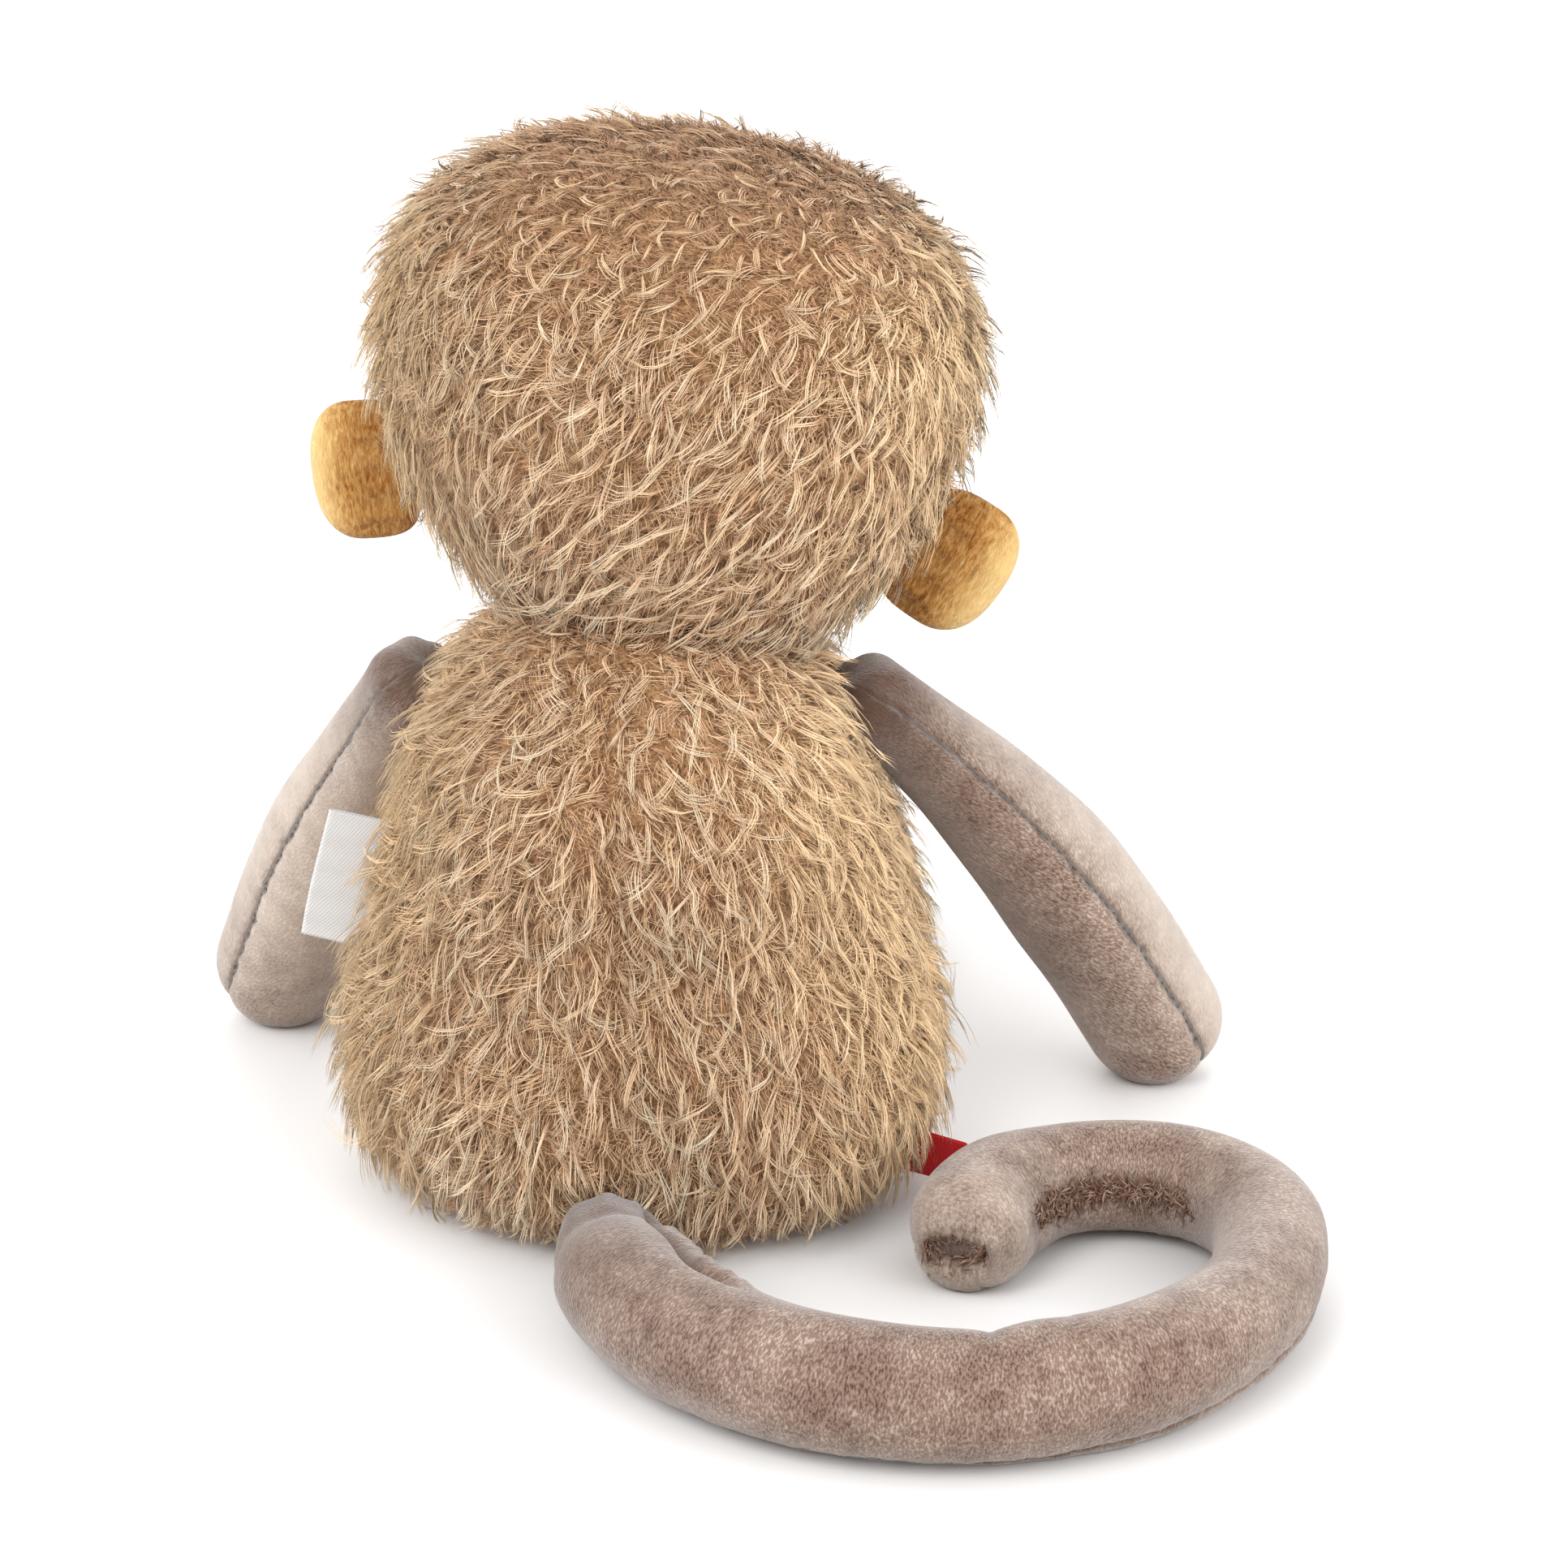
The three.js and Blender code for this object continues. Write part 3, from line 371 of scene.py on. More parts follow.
taupe_thread = plain_material("taupe thread", srgb(132, 110, 96), srgb(92, 74, 63), 0.8, 1200.0)
caramel_thread = plain_material("caramel thread", srgb(186, 140, 100), srgb(150, 106, 72), 0.8, 1200.0)
dark_thread = plain_material("dark thread", srgb(66, 48, 40), srgb(36, 26, 22), 0.65, 1500.0)
eye_plastic = plain_material("black plastic", srgb(30, 22, 20), srgb(18, 13, 12), 0.12, 60.0, 0.00001)
pale_plastic = plain_material("pale plastic", srgb(222, 219, 210), srgb(206, 202, 192), 0.4, 90.0)
print("materials:", len(bpy.data.materials))


# %% [markdown]
# ## Skins from rings
# Almost every sewn piece here is a closed skin: rings of points from one end to the other, and a single point
# that closes each end. The rings come from a formula as one numpy array, with no loop over the points.

# %% Mesh helpers
def unit(vectors):
    """Vectors divided by their own lengths."""
    return vectors / np.maximum(np.linalg.norm(vectors, axis=-1, keepdims=True), 1e-9)


def mesh_piece(name, points, faces, material, body):
    """A piece from points in millimetres and a list of face arrays, riding on a body."""
    mesh = bpy.data.meshes.new(name)
    corners = np.concatenate([part.ravel() for part in faces])
    sizes = np.concatenate([np.full(len(part), part.shape[1]) for part in faces])
    mesh.vertices.add(len(points))
    mesh.vertices.foreach_set("co", (points * MM).astype(np.float32).ravel())
    mesh.loops.add(len(corners))
    mesh.loops.foreach_set("vertex_index", corners.astype(np.int32))
    mesh.polygons.add(len(sizes))
    mesh.polygons.foreach_set("loop_start", (np.cumsum(sizes) - sizes).astype(np.int32))
    mesh.polygons.foreach_set("use_smooth", np.ones(len(sizes), bool))
    mesh.update(calc_edges=True)
    mesh.validate()
    mesh.materials.append(material)
    piece = bpy.data.objects.new(name, mesh)
    scene.collection.objects.link(piece)
    if body:
        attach(piece, body)
    return piece


def skin_faces(rows, columns):
    """Four-sided faces between neighbouring rings, and triangles from each end ring to its end point."""
    around = np.arange(columns)
    onward = (around + 1) % columns
    starts = np.arange(rows - 1)[:, None] * columns
    quads = np.stack([starts + around, starts + onward, starts + columns + onward, starts + columns + around],
                     -1)
    first = np.stack([np.full(columns, rows * columns), onward, around], -1)
    last_ring = (rows - 1) * columns
    last = np.stack([np.full(columns, rows * columns + 1), last_ring + around, last_ring + onward], -1)
    return quads.reshape(-1, 4), np.concatenate([first, last])


def mark(piece, name, values):
    """A number or a vector at each point of a piece, under a name that a material can read."""
    kind, field = ("FLOAT_VECTOR", "vector") if values.ndim == 2 else ("FLOAT", "value")
    attribute = piece.data.attributes.new(name, kind, "POINT")
    attribute.data.foreach_set(field, values.astype(np.float32).ravel())


def skin(name, rings, ends, material, body, nap=None, seam=0.0, painted_light_and_tone=0.0):
    """A closed skin from rings (rows, columns, 3) and two end points, turned so that its faces look outwards.

    nap holds the places where the nap is looked up, in mm. seam is painted shade, from 0 to 1, in seams,
    creases, folds and the tip's slit, at limb and ear roots and at the foot of tufts. painted_light_and_tone is
    painted light above 0, up to 1, and painted shade below 0, down to -1, with a random tone on the tail's
    tufts."""
    rows, columns, _ = rings.shape
    points = np.concatenate([rings.reshape(-1, 3), ends])
    quads, triangles = skin_faces(rows, columns)
    a, b, c = (points[quads[:, k]] - points.mean(0) for k in (0, 1, 2))
    if np.einsum("ij,ij->", a, np.cross(b, c)) < 0:
        quads, triangles = quads[:, ::-1], triangles[:, ::-1]
    piece = mesh_piece(name, points, [quads, triangles], material, body)
    nap = rings if nap is None else nap
    mark(piece, "nap", np.concatenate([nap.reshape(-1, 3), nap[[0, -1]].mean(1)]) * MM)
    for title, values in (("seam", seam), ("painted_light_and_tone", painted_light_and_tone)):
        values = np.broadcast_to(values, (rows, columns))
        mark(piece, title, np.concatenate([values.ravel(), values[[0, -1]].mean(1)]))
    return piece


def filling(rings, share, body, node, middle=None):
    """The filling inside a skin: every fourth ring and column, drawn in towards its ring's middle or a point.

    The rings next to the two ends are left out, so that it stays clear of the closed ends."""
    inner = rings[6:-10:4, ::4]
    middle = inner.mean(1, keepdims=True) if middle is None else middle
    inner = middle + (inner - middle) * share
    piece = skin(f"{node}_fibre", inner, inner[[0, -1]].mean(1), white_filling, body)
    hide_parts(node)
    return piece


NAP_STRETCH = np.array([1.0, 1.0, 0.42])
SIDES = (("left", 1), ("right", -1))


def smooth_step(share):
    """0 below 0, 1 above 1, and 3s² - 2s³ between."""
    share = np.clip(share, 0, 1)
    return share * share * (3 - 2 * share)


# %% [markdown]
# ## The body
# The body is a pear that sits flat on the floor. Its upper end is a ball that the head turns on. At each height
# both forms have a distance from the upright axis, and the cloth takes the larger one, blended smoothly.
# Seams draw the cloth in: one down the middle of the back, and one down each side.

# %% Body sizes and form
BODY_HALF_WIDTH, BODY_HALF_DEPTH = 71.5, 61.0
BODY_WIDEST, BODY_PEAR_TOP, SEAT_HALF_WIDTH = 28.0, 141.0, 50.0
NECK_HEIGHT, NECK_DEPTH, NECK_RADIUS = 101.0, 5.0, 55.0
BODY_PILE_DEPTH = 2.2
BACK_SEAM_TURN = np.pi / 2
SIDE_SEAM_DEPTH = 8.0
BACK_SEAM, SIDE_SEAM = (2.6, 5.5), (1.2, 4.0)
FORM_BLEND = 12


def body_radius(height, turn):
    """Distance from the upright axis: the twelfth root of the pear's and the ball's twelfth powers, added."""
    below = height < BODY_WIDEST
    share = np.where(below, (BODY_WIDEST - height) / BODY_WIDEST,
                     (height - BODY_WIDEST) / (BODY_PEAR_TOP - BODY_WIDEST))
    curve = np.sqrt(np.clip(1 - share ** 2, 0, 1))
    width = np.where(below, SEAT_HALF_WIDTH + (BODY_HALF_WIDTH - SEAT_HALF_WIDTH) * curve,
                     BODY_HALF_WIDTH * curve)
    pear = width / np.hypot(np.cos(turn), np.sin(turn) * BODY_HALF_WIDTH / BODY_HALF_DEPTH)
    reach = np.clip(NECK_RADIUS ** 2 - (height - NECK_HEIGHT) ** 2, 0, None)
    level = np.clip(reach - (NECK_DEPTH * np.cos(turn)) ** 2, 0, None)
    ball = np.where(level > 0, NECK_DEPTH * np.sin(turn) + np.sqrt(level), 0)
    return (pear ** FORM_BLEND + np.clip(ball, 0, None) ** FORM_BLEND) ** (1 / FORM_BLEND)


def body_cloth(height, turn):
    """A point of the body's cloth: its form less the pile's depth, drawn in along the seams by a bell curve.

    Each seam has a depth and a width in mm: depth × exp(-(distance / width)²)."""
    radius = body_radius(height, turn)
    wrapped = (turn - BACK_SEAM_TURN + np.pi) % (2 * np.pi) - np.pi
    seams = BACK_SEAM[0] * np.exp(-(wrapped * radius / BACK_SEAM[1]) ** 2)
    away = radius * np.sin(turn) - SIDE_SEAM_DEPTH
    seams = seams + SIDE_SEAM[0] * np.exp(-(away / SIDE_SEAM[1]) ** 2)
    lumps = 0.8 * np.sin(height / 11 + 2 * np.sin(turn * 3)) * np.sin(turn * 5 + height / 17)
    radius = radius - BODY_PILE_DEPTH - seams + lumps
    return np.stack([radius * np.cos(turn), radius * np.sin(turn), height + 0 * turn], -1)


# %% Sew the body
BODY_ROWS, BODY_COLUMNS = 84, 140
SEAT_LIFT = 0.4
around_body = np.linspace(0, 2 * np.pi, BODY_COLUMNS, endpoint=False)
rise = (1 - np.cos(np.linspace(0, np.pi, BODY_ROWS))) / 2
body_heights = SEAT_LIFT + (NECK_HEIGHT + NECK_RADIUS - BODY_PILE_DEPTH - 1.5 - SEAT_LIFT) * rise
body_rings = body_cloth(body_heights[:, None], around_body[None, :])
seat_rings = body_rings[0] * np.array([1, 1, 0]) * np.array([0.3, 0.6, 0.85])[:, None, None] + [0, 0, SEAT_LIFT]
body_ends = [[0, 0, SEAT_LIFT], [0, NECK_DEPTH, NECK_HEIGHT + NECK_RADIUS - BODY_PILE_DEPTH]]
body_skin = skin("body_skin", np.concatenate([seat_rings, body_rings]), body_ends, fur_backing, "torso")
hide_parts("body_back_left", "body_back_right", "body_front")
filling(body_rings, 0.9, "torso", "body_stuffing", np.array([0.0, 0.0, 72.0]))
print("body skin:", len(body_skin.data.polygons), "faces")


# %% [markdown]
# ## The seat
# Under the body lies an oval panel of plush, sewn in with a shallow crown. Only someone who lifts the toy sees
# it, so it is a thin pad with a seam that draws its rim in.

# %% Sew the seat panel
SEAT_PANEL_HALF_WIDTH = 46.0


def oval_pad(centre_height, half_width, depth_ratio, thickness, rows=24, columns=96):
    """A flat oval cushion: each ring is the oval times sin of an angle, and its height follows its cosine."""
    angle = np.linspace(0, np.pi, rows + 2)[1:-1]
    turn = np.linspace(0, 2 * np.pi, columns, endpoint=False)
    share = np.sin(angle)[:, None] ** 0.5
    height = centre_height - thickness / 2 * np.cos(angle)[:, None] + 0 * turn
    width, depth = half_width * share, half_width * depth_ratio * share
    rings = np.stack([width * np.cos(turn), depth * np.sin(turn), height], -1)
    return rings, [[0, 0, centre_height - thickness / 2], [0, 0, centre_height + thickness / 2]]


seat_pad, seat_ends = oval_pad(0.9, SEAT_PANEL_HALF_WIDTH, BODY_HALF_DEPTH / BODY_HALF_WIDTH, 1.6)
seat_cloth = skin("seat_cloth", seat_pad, seat_ends, taupe_plush, "torso", seat_pad * NAP_STRETCH)
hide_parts("seat_panel")
print("seat panel width:", round(2 * SEAT_PANEL_HALF_WIDTH), "mm")


# %% [markdown]
# ## The head
# The head is an egg, wider than it is deep, that leans to the toy's right. Its underside is hollowed by the
# ball that it turns on: a point that would lie inside the ball is moved straight out from the ball's centre
# until it lies on it.

# %% Head sizes and form
HEAD_HALF_WIDTH, HEAD_HALF_DEPTH = 71.0, 61.0
HEAD_CROWN, HEAD_CHIN = 52.0, 82.0
HEAD_CENTRE = np.array([4.5, -15.0, 106.0])
HEAD_LEAN = np.radians(7.0)
NECK_PIVOT = np.array([0.0, NECK_DEPTH, NECK_HEIGHT])
FACE_HALF_WIDTH, FACE_HALF_HEIGHT, FACE_DROP = 41.0, 38.0, 8.0
POCKET_RADIUS = 57.0
HEAD_PILE_DEPTH = 3.6


def lean(points, back=False):
    """Points about the neck pivot, turned about the depth axis by the head's lean, and moved to the pivot."""
    cosine, sine = np.cos(HEAD_LEAN), np.sin(HEAD_LEAN)
    turn = np.array([[cosine, 0, -sine], [0, 1, 0], [sine, 0, cosine]])
    return (points - NECK_PIVOT) @ turn if back else points @ turn.T + NECK_PIVOT


def egg_height(upward):
    """Half height of the egg towards a direction: the crown's above, the chin's below, eased between."""
    return HEAD_CHIN + (HEAD_CROWN - HEAD_CHIN) * smooth_step(upward * 2.5 + 0.5)


def head_form(polar, turn, inset):
    """A point of the egg before its lean: its poles are at the ears, and turn goes from back to crown."""
    direction = np.stack(
        [np.cos(polar) + 0 * turn, np.sin(polar) * np.cos(turn), np.sin(polar) * np.sin(turn)], -1)
    across, back, upward = (direction[..., k] for k in range(3))
    corner = 0.06 * (2 * across * np.clip(upward, 0, None)) ** 2
    chin = (0.055 + 0.045 * across) * smooth_step(-1.4 * upward - 0.25) * smooth_step(1 + 1.2 * back)
    size = np.stack([
        HEAD_HALF_WIDTH - inset + 0 * across, HEAD_HALF_DEPTH - inset + 0 * across, egg_height(upward) - inset,
    ], -1)
    return HEAD_CENTRE + direction * size * (1 + corner - chin)[..., None]


def head_cloth(polar, turn):
    """A point of the head's cloth: the egg less the pile's depth, hollowed by the ball, then leaned."""
    points = head_form(polar, turn, HEAD_PILE_DEPTH)
    distance = np.linalg.norm(points, axis=-1, keepdims=True)
    return lean(points * np.maximum(POCKET_RADIUS / distance, 1))


# %% Sew the head
HEAD_ROWS, HEAD_COLUMNS = 90, 150
head_polar = np.linspace(0, np.pi, HEAD_ROWS + 2)[1:-1]
head_turn = np.linspace(0, 2 * np.pi, HEAD_COLUMNS, endpoint=False)
head_ends = [head_cloth(np.array(polar), np.array(0.0)) for polar in (0.0, np.pi)]
head_rings = head_cloth(head_polar[:, None], head_turn[None, :])
head_skin = skin("head_skin", head_rings, head_ends, fur_backing, "head")
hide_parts("head_back", "head_side_left", "head_side_right")
filling(head_rings, 0.9, "head", "head_stuffing", lean(HEAD_CENTRE))
print("head skin:", len(head_skin.data.polygons), "faces")


# %% [markdown]
# ## The face
# The face looks away from the photograph's camera, so it is a plain one of its kind: an oval of pale plush, a
# rounded muzzle, a stitched nose, two safety eyes and a short stitched mouth.

# %% Face panel and muzzle
MUZZLE_HALF_WIDTH, MUZZLE_HALF_DEPTH, MUZZLE_HALF_HEIGHT, MUZZLE_DROP = 26.0, 17.0, 18.0, 23.0
FACE_RISE, FACE_THICKNESS = 0.6, 4.0


def head_front(side, height):
    """Depth of the egg's front at a side offset and a height from its middle."""
    share = 1 - (side / HEAD_HALF_WIDTH) ** 2 - (height / egg_height(height / HEAD_CHIN)) ** 2
    return HEAD_CENTRE[1] - HEAD_HALF_DEPTH * np.sqrt(np.clip(share, 0, 1))


def face_rings(rows=36, columns=120):
    """Rings of the face oval: in front they swell out of the egg's front, and behind they lie under it."""
    angle = np.linspace(0, np.pi, rows + 2)[1:-1, None]
    turn = np.linspace(0, 2 * np.pi, columns, endpoint=False)[None, :]
    share = np.sin(angle) ** 0.6
    side = FACE_HALF_WIDTH * share * np.cos(turn)
    height = FACE_HALF_HEIGHT * share * np.sin(turn) - FACE_DROP
    swell = FACE_RISE + (FACE_THICKNESS / 2) * (np.cos(angle) - 1) + 0 * turn
    depth = head_front(side, height) - swell
    return np.stack([HEAD_CENTRE[0] + side, depth, HEAD_CENTRE[2] + height], -1)


face_points = face_rings()
face_middle = np.array([HEAD_CENTRE[0], 0, HEAD_CENTRE[2] - FACE_DROP])
face_depth = head_front(0.0, -FACE_DROP)
face_ends = [lean(face_middle + [0, face_depth - FACE_RISE + back, 0]) for back in (0, FACE_THICKNESS)]
face_skin = skin("face_skin", lean(face_points), face_ends, face_plush, "head",
                 face_points * NAP_STRETCH)
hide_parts("face_panel")

muzzle_centre = np.array([HEAD_CENTRE[0], head_front(0.0, -MUZZLE_DROP), HEAD_CENTRE[2] - MUZZLE_DROP])


def muzzle_crease(side, upward):
    """How deep the crease is: a bell curve across the middle, below the nose only."""
    return 1.1 * np.exp(-(side / 2.2) ** 2) * smooth_step(0.2 - upward)


def muzzle_form(angle, turn):
    """An egg lying on the face, its axis pointing forwards, with a shallow crease down its middle."""
    direction = np.stack(
        [np.sin(angle) * np.cos(turn), -np.cos(angle) + 0 * turn, np.sin(angle) * np.sin(turn)], -1)
    points = direction * [MUZZLE_HALF_WIDTH, MUZZLE_HALF_DEPTH, MUZZLE_HALF_HEIGHT]
    crease = muzzle_crease(points[..., 0], direction[..., 2])
    points[..., 1] += crease * (direction[..., 1] < 0)
    return muzzle_centre + points


def on_face(points, sink):
    """Points kept in front of the face, or sunk into it by a depth."""
    side, height = points[..., 0] - HEAD_CENTRE[0], points[..., 2] - HEAD_CENTRE[2]
    points[..., 1] = np.minimum(points[..., 1], head_front(side, height) - FACE_RISE + sink)
    return points


muzzle_angle = np.linspace(0, np.pi, 50)[1:-1, None]
muzzle_turn = np.linspace(0, 2 * np.pi, 96, endpoint=False)[None, :]
muzzle_rings = on_face(muzzle_form(muzzle_angle, muzzle_turn), 0.5)
muzzle_back = on_face(muzzle_form(np.array(np.pi), np.array(0.0)), 0.5)
muzzle_ends = [lean(muzzle_form(np.array(0.0), np.array(0.0))), lean(muzzle_back)]
muzzle_skin = skin("muzzle_skin", lean(muzzle_rings), muzzle_ends, face_plush, "head",
                   muzzle_rings * NAP_STRETCH)
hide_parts("muzzle")
filling(lean(muzzle_rings), 0.8, "head", "muzzle_stuffing", lean(muzzle_rings.mean((0, 1))))
print("muzzle stands out", round(MUZZLE_HALF_DEPTH), "mm")

# %% Nose
NOSE_HALF_WIDTH, NOSE_HALF_DEPTH, NOSE_HALF_HEIGHT, NOSE_RISE = 7.5, 4.5, 5.0, 8.0
NOSE_THREADS = 15
nose_depth = MUZZLE_HALF_DEPTH * np.sqrt(1 - (NOSE_RISE / MUZZLE_HALF_HEIGHT) ** 2)
nose_centre = muzzle_centre + [0, -nose_depth, NOSE_RISE]
nose_angle = np.linspace(0, np.pi, 60)[1:-1, None]
nose_turn = np.linspace(0, 2 * np.pi, 120, endpoint=False)[None, :]
nose_rib = 1 + 0.045 * np.cos(NOSE_THREADS * 2 * np.pi * (np.sin(nose_angle) * np.cos(nose_turn) + 1) / 2)
nose_narrow = 1 - 0.28 * smooth_step(-np.sin(nose_angle) * np.sin(nose_turn))
nose_rings = np.stack([
    NOSE_HALF_WIDTH * np.sin(nose_angle) * np.cos(nose_turn) * nose_narrow,
    -NOSE_HALF_DEPTH * np.cos(nose_angle) * nose_rib,
    NOSE_HALF_HEIGHT * np.sin(nose_angle) * np.sin(nose_turn) * (0.96 + 0.04 * nose_rib),
], -1) + nose_centre
nose_ends = [lean(nose_centre + [0, way * NOSE_HALF_DEPTH, 0]) for way in (-1, 1)]
nose_pad = skin("nose_pad", lean(nose_rings), nose_ends, dark_thread, "head")
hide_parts("nose")
print("nose threads:", NOSE_THREADS)


# %% [markdown]
# ## Round tubes
# Arms, legs, tail and threads are tubes: a ring carried along a path, with a quarter circle of rings that
# closes each end. The ring stands square to the path, and one of its directions is given, so that a seam can be
# placed at a known turn round the tube.

# %% Tube helper
def slopes(path):
    """Unit directions along a path of points."""
    return unit(np.gradient(path, axis=0))


def tube(path, radii, across, columns, cap_rows, shape=None, slant=None, stretch=NAP_STRETCH):
    """Rings: centre + radius × (side × cos turn + other × sin turn), closed by two points.

    shape gives a share of the radius and a nearness to a seam, by place and turn. The nap of a straight tube of
    the same size comes back too, so that the plush's grain follows the limb. slant turns the grain: it gives an
    angle by place and turn, in units of the tube's size."""
    along = slopes(path)
    quarter = np.linspace(0, np.pi / 2, cap_rows + 1)[1:-1]
    start = path[0] - along[0] * radii[0] * np.cos(quarter)[:, None]
    end = path[-1] + along[-1] * radii[-1] * np.cos(quarter[::-1])[:, None]
    centres = np.concatenate([start, path, end])
    facing = np.concatenate([np.repeat(along[:1], len(start), 0), along, np.repeat(along[-1:], len(end), 0)])
    sizes = np.concatenate([radii[0] * np.sin(quarter), radii, radii[-1] * np.sin(quarter[::-1])])
    side = unit(across - facing * (facing @ across)[:, None])
    other = np.cross(facing, side)
    turn = np.linspace(0, 2 * np.pi, columns, endpoint=False)[None, :]
    steps = np.linalg.norm(np.diff(centres, axis=0), axis=1)
    place = np.concatenate([[0], np.cumsum(steps)])[:, None]
    share, seam = (1.0, 0.0) if shape is None else shape(place, turn)
    ring = side[:, None] * np.cos(turn)[..., None] + other[:, None] * np.sin(turn)[..., None]
    rings = centres[:, None] + (sizes[:, None] * share)[..., None] * ring
    flat = sizes.max() + 0 * place
    slanted = turn if slant is None else turn + slant(place / sizes.max(), turn)
    nap = np.stack([flat * np.cos(slanted), flat * np.sin(slanted), place + 0 * turn], -1) * stretch
    ends = np.array([path[0] - along[0] * radii[0], path[-1] + along[-1] * radii[-1]])
    seam = np.broadcast_to(seam, rings.shape[:2])
    return {"rings": rings, "ends": ends, "nap": nap, "seam": seam, "place": place, "turn": turn}


def turned_from(turn, seam):
    """The angle between a turn and a seam, from -pi to pi."""
    return (turn - seam + np.pi) % (2 * np.pi) - np.pi


def ripple(place, pitch, seed):
    """An uneven wave along a seam: three sines whose pitches don't fit each other."""
    return (np.sin(2 * np.pi * place / pitch + seed) + np.sin(2 * np.pi * place / (pitch * 1.63) + 2 * seed)
            + np.sin(2 * np.pi * place / (pitch * 0.57) + 3 * seed)) / 3


def seam_shape(turns, valley=0.05, crack=0.055, stitch=4.4):
    """A share of the radius: 1 less a wide valley and a narrow crack at each seam, both uneven along it."""
    def share(place, turn):
        total, near = 1.0, 0.0
        for number, seam in enumerate(turns):
            wander = 0.05 * ripple(place, 3.1 * stitch, seed=number + 1)
            gap = turned_from(turn, seam + wander)
            pull = 1 + 0.5 * ripple(place, stitch, seed=number + 2)
            total = total - valley * (0.75 + 0.25 * pull) * np.exp(-(gap / 0.26) ** 2)
            total = total - crack * pull * np.exp(-(gap / 0.06) ** 2)
            total = total + 0.012 * ripple(place, 2 * stitch, seed=number + 4) * np.exp(-(gap / 0.6) ** 2)
            # near is painted shade in each seam's crack, carried by the seam mark.
            near = np.maximum(near, (0.15 + 0.6 * pull) * np.exp(-(gap / 0.06) ** 2))
        lumps = 0.014 * np.sin(place / 9 + 2 * np.sin(turn)) * np.sin(2 * turn + place / 23)
        return total + lumps, np.clip(near, 0, 1)
    return share


def on_floor(rings, lift=0.25):
    """Points kept above the floor, so that a resting limb is flat where it lies."""
    rings[..., 2] = np.maximum(rings[..., 2], lift)
    return rings


def outside_body(rings, gap):
    """Points inside the body's form, moved straight out from its upright axis until they clear it by a gap."""
    turn = np.arctan2(rings[..., 1], rings[..., 0])
    distance = np.hypot(rings[..., 0], rings[..., 1])
    wanted = body_radius(rings[..., 2], turn) + gap
    rings[..., :2] *= np.maximum(wanted / np.maximum(distance, 1e-6), 1)[..., None]
    return rings


STITCH_SIDES = 5
STITCH_PITCH, STITCH_LENGTH, THREAD_RADIUS = 3.3, 2.0, 0.26


def stitches(name, line, outward, body):
    """Thread dashes along a line of points: each is a small closed spindle on the line, sunk by half."""
    steps = np.concatenate([[0], np.cumsum(np.linalg.norm(np.diff(line, axis=0), axis=1))])
    places = np.arange(STITCH_PITCH, steps[-1] - STITCH_PITCH, STITCH_PITCH)
    at = np.stack([np.interp(places, steps, line[:, k]) for k in range(3)], -1)
    ahead = np.stack([np.interp(places + STITCH_LENGTH / 2, steps, line[:, k]) for k in range(3)], -1)
    along = unit(ahead - at)
    out = unit(np.stack([np.interp(places, steps, outward[:, k]) for k in range(3)], -1))
    side = np.cross(along, out)
    offsets = np.array([-0.5, -0.32, 0.0, 0.32, 0.5]) * STITCH_LENGTH
    sizes = np.array([0.35, 0.9, 1.0, 0.9, 0.35]) * THREAD_RADIUS
    lifts = np.array([-0.5, 0.1, 0.4, 0.1, -0.5]) * THREAD_RADIUS
    turn = np.linspace(0, 2 * np.pi, STITCH_SIDES, endpoint=False)[None, None, :, None]
    ring = out[:, None, None] * np.cos(turn) + side[:, None, None] * np.sin(turn)
    centres = at[:, None] + along[:, None] * offsets[None, :, None] + out[:, None] * lifts[None, :, None]
    rings = centres[:, :, None] + ring * sizes[None, :, None, None]
    ends = np.stack([centres[:, 0] - along * 0.1, centres[:, -1] + along * 0.1], 1)
    points = np.concatenate([rings.reshape(len(at), -1, 3), ends], 1)
    quads, triangles = skin_faces(len(offsets), STITCH_SIDES)
    shift = (np.arange(len(at)) * points.shape[1])[:, None, None]
    quads = (quads[None, :, ::-1] + shift).reshape(-1, 4)
    triangles = (triangles[None, :, ::-1] + shift).reshape(-1, 3)
    return mesh_piece(name, points.reshape(-1, 3), [quads, triangles], taupe_thread, body)


# %% [markdown]
# ## The arms
# Each arm hangs from the shoulder and its paw rests on the floor. It is thin at the root and fuller at the paw,
# and a seam runs down each of two sides, where the stitches pull the plush in. The path is a quadratic curve:
# two ends and one point that bows it upwards.

# %% Arm sizes and form
SHOULDER = np.array([54.5, -3.0, 123.0])
ARM_LENGTH, ARM_ROOT_RADIUS, PAW_RADIUS, ARM_COLUMNS = 141.0, 11.0, 16.0, 128
ARM_TURNS = {"left": np.radians(33.0), "right": np.radians(48.0)}
ARM_BOWS = {"left": 4.0, "right": 6.0}
FLOOR_FLAT = 0.5
ARM_SHIFT = {"left": (2.0, 4.5, 0.0), "right": (1.6, 0.0, 0.0)}
# Painted light for each arm: how much lighter its upper side and darker its lower side, an overall level, a
# change at the paw, and the length in mm of the painted shade at the root.
ARM_PAINTED_LIGHT = {"left": (0.08, 0.75, -0.3, 16), "right": (0.5, 0.2, 0.28, 26)}
PAW_FULLNESS, PAW_START, PAW_EASE = 1.4, 95, 45
ARM_SEWN_ROWS = slice(34, -9)
UP = np.array([0.0, 0.0, 1.0])


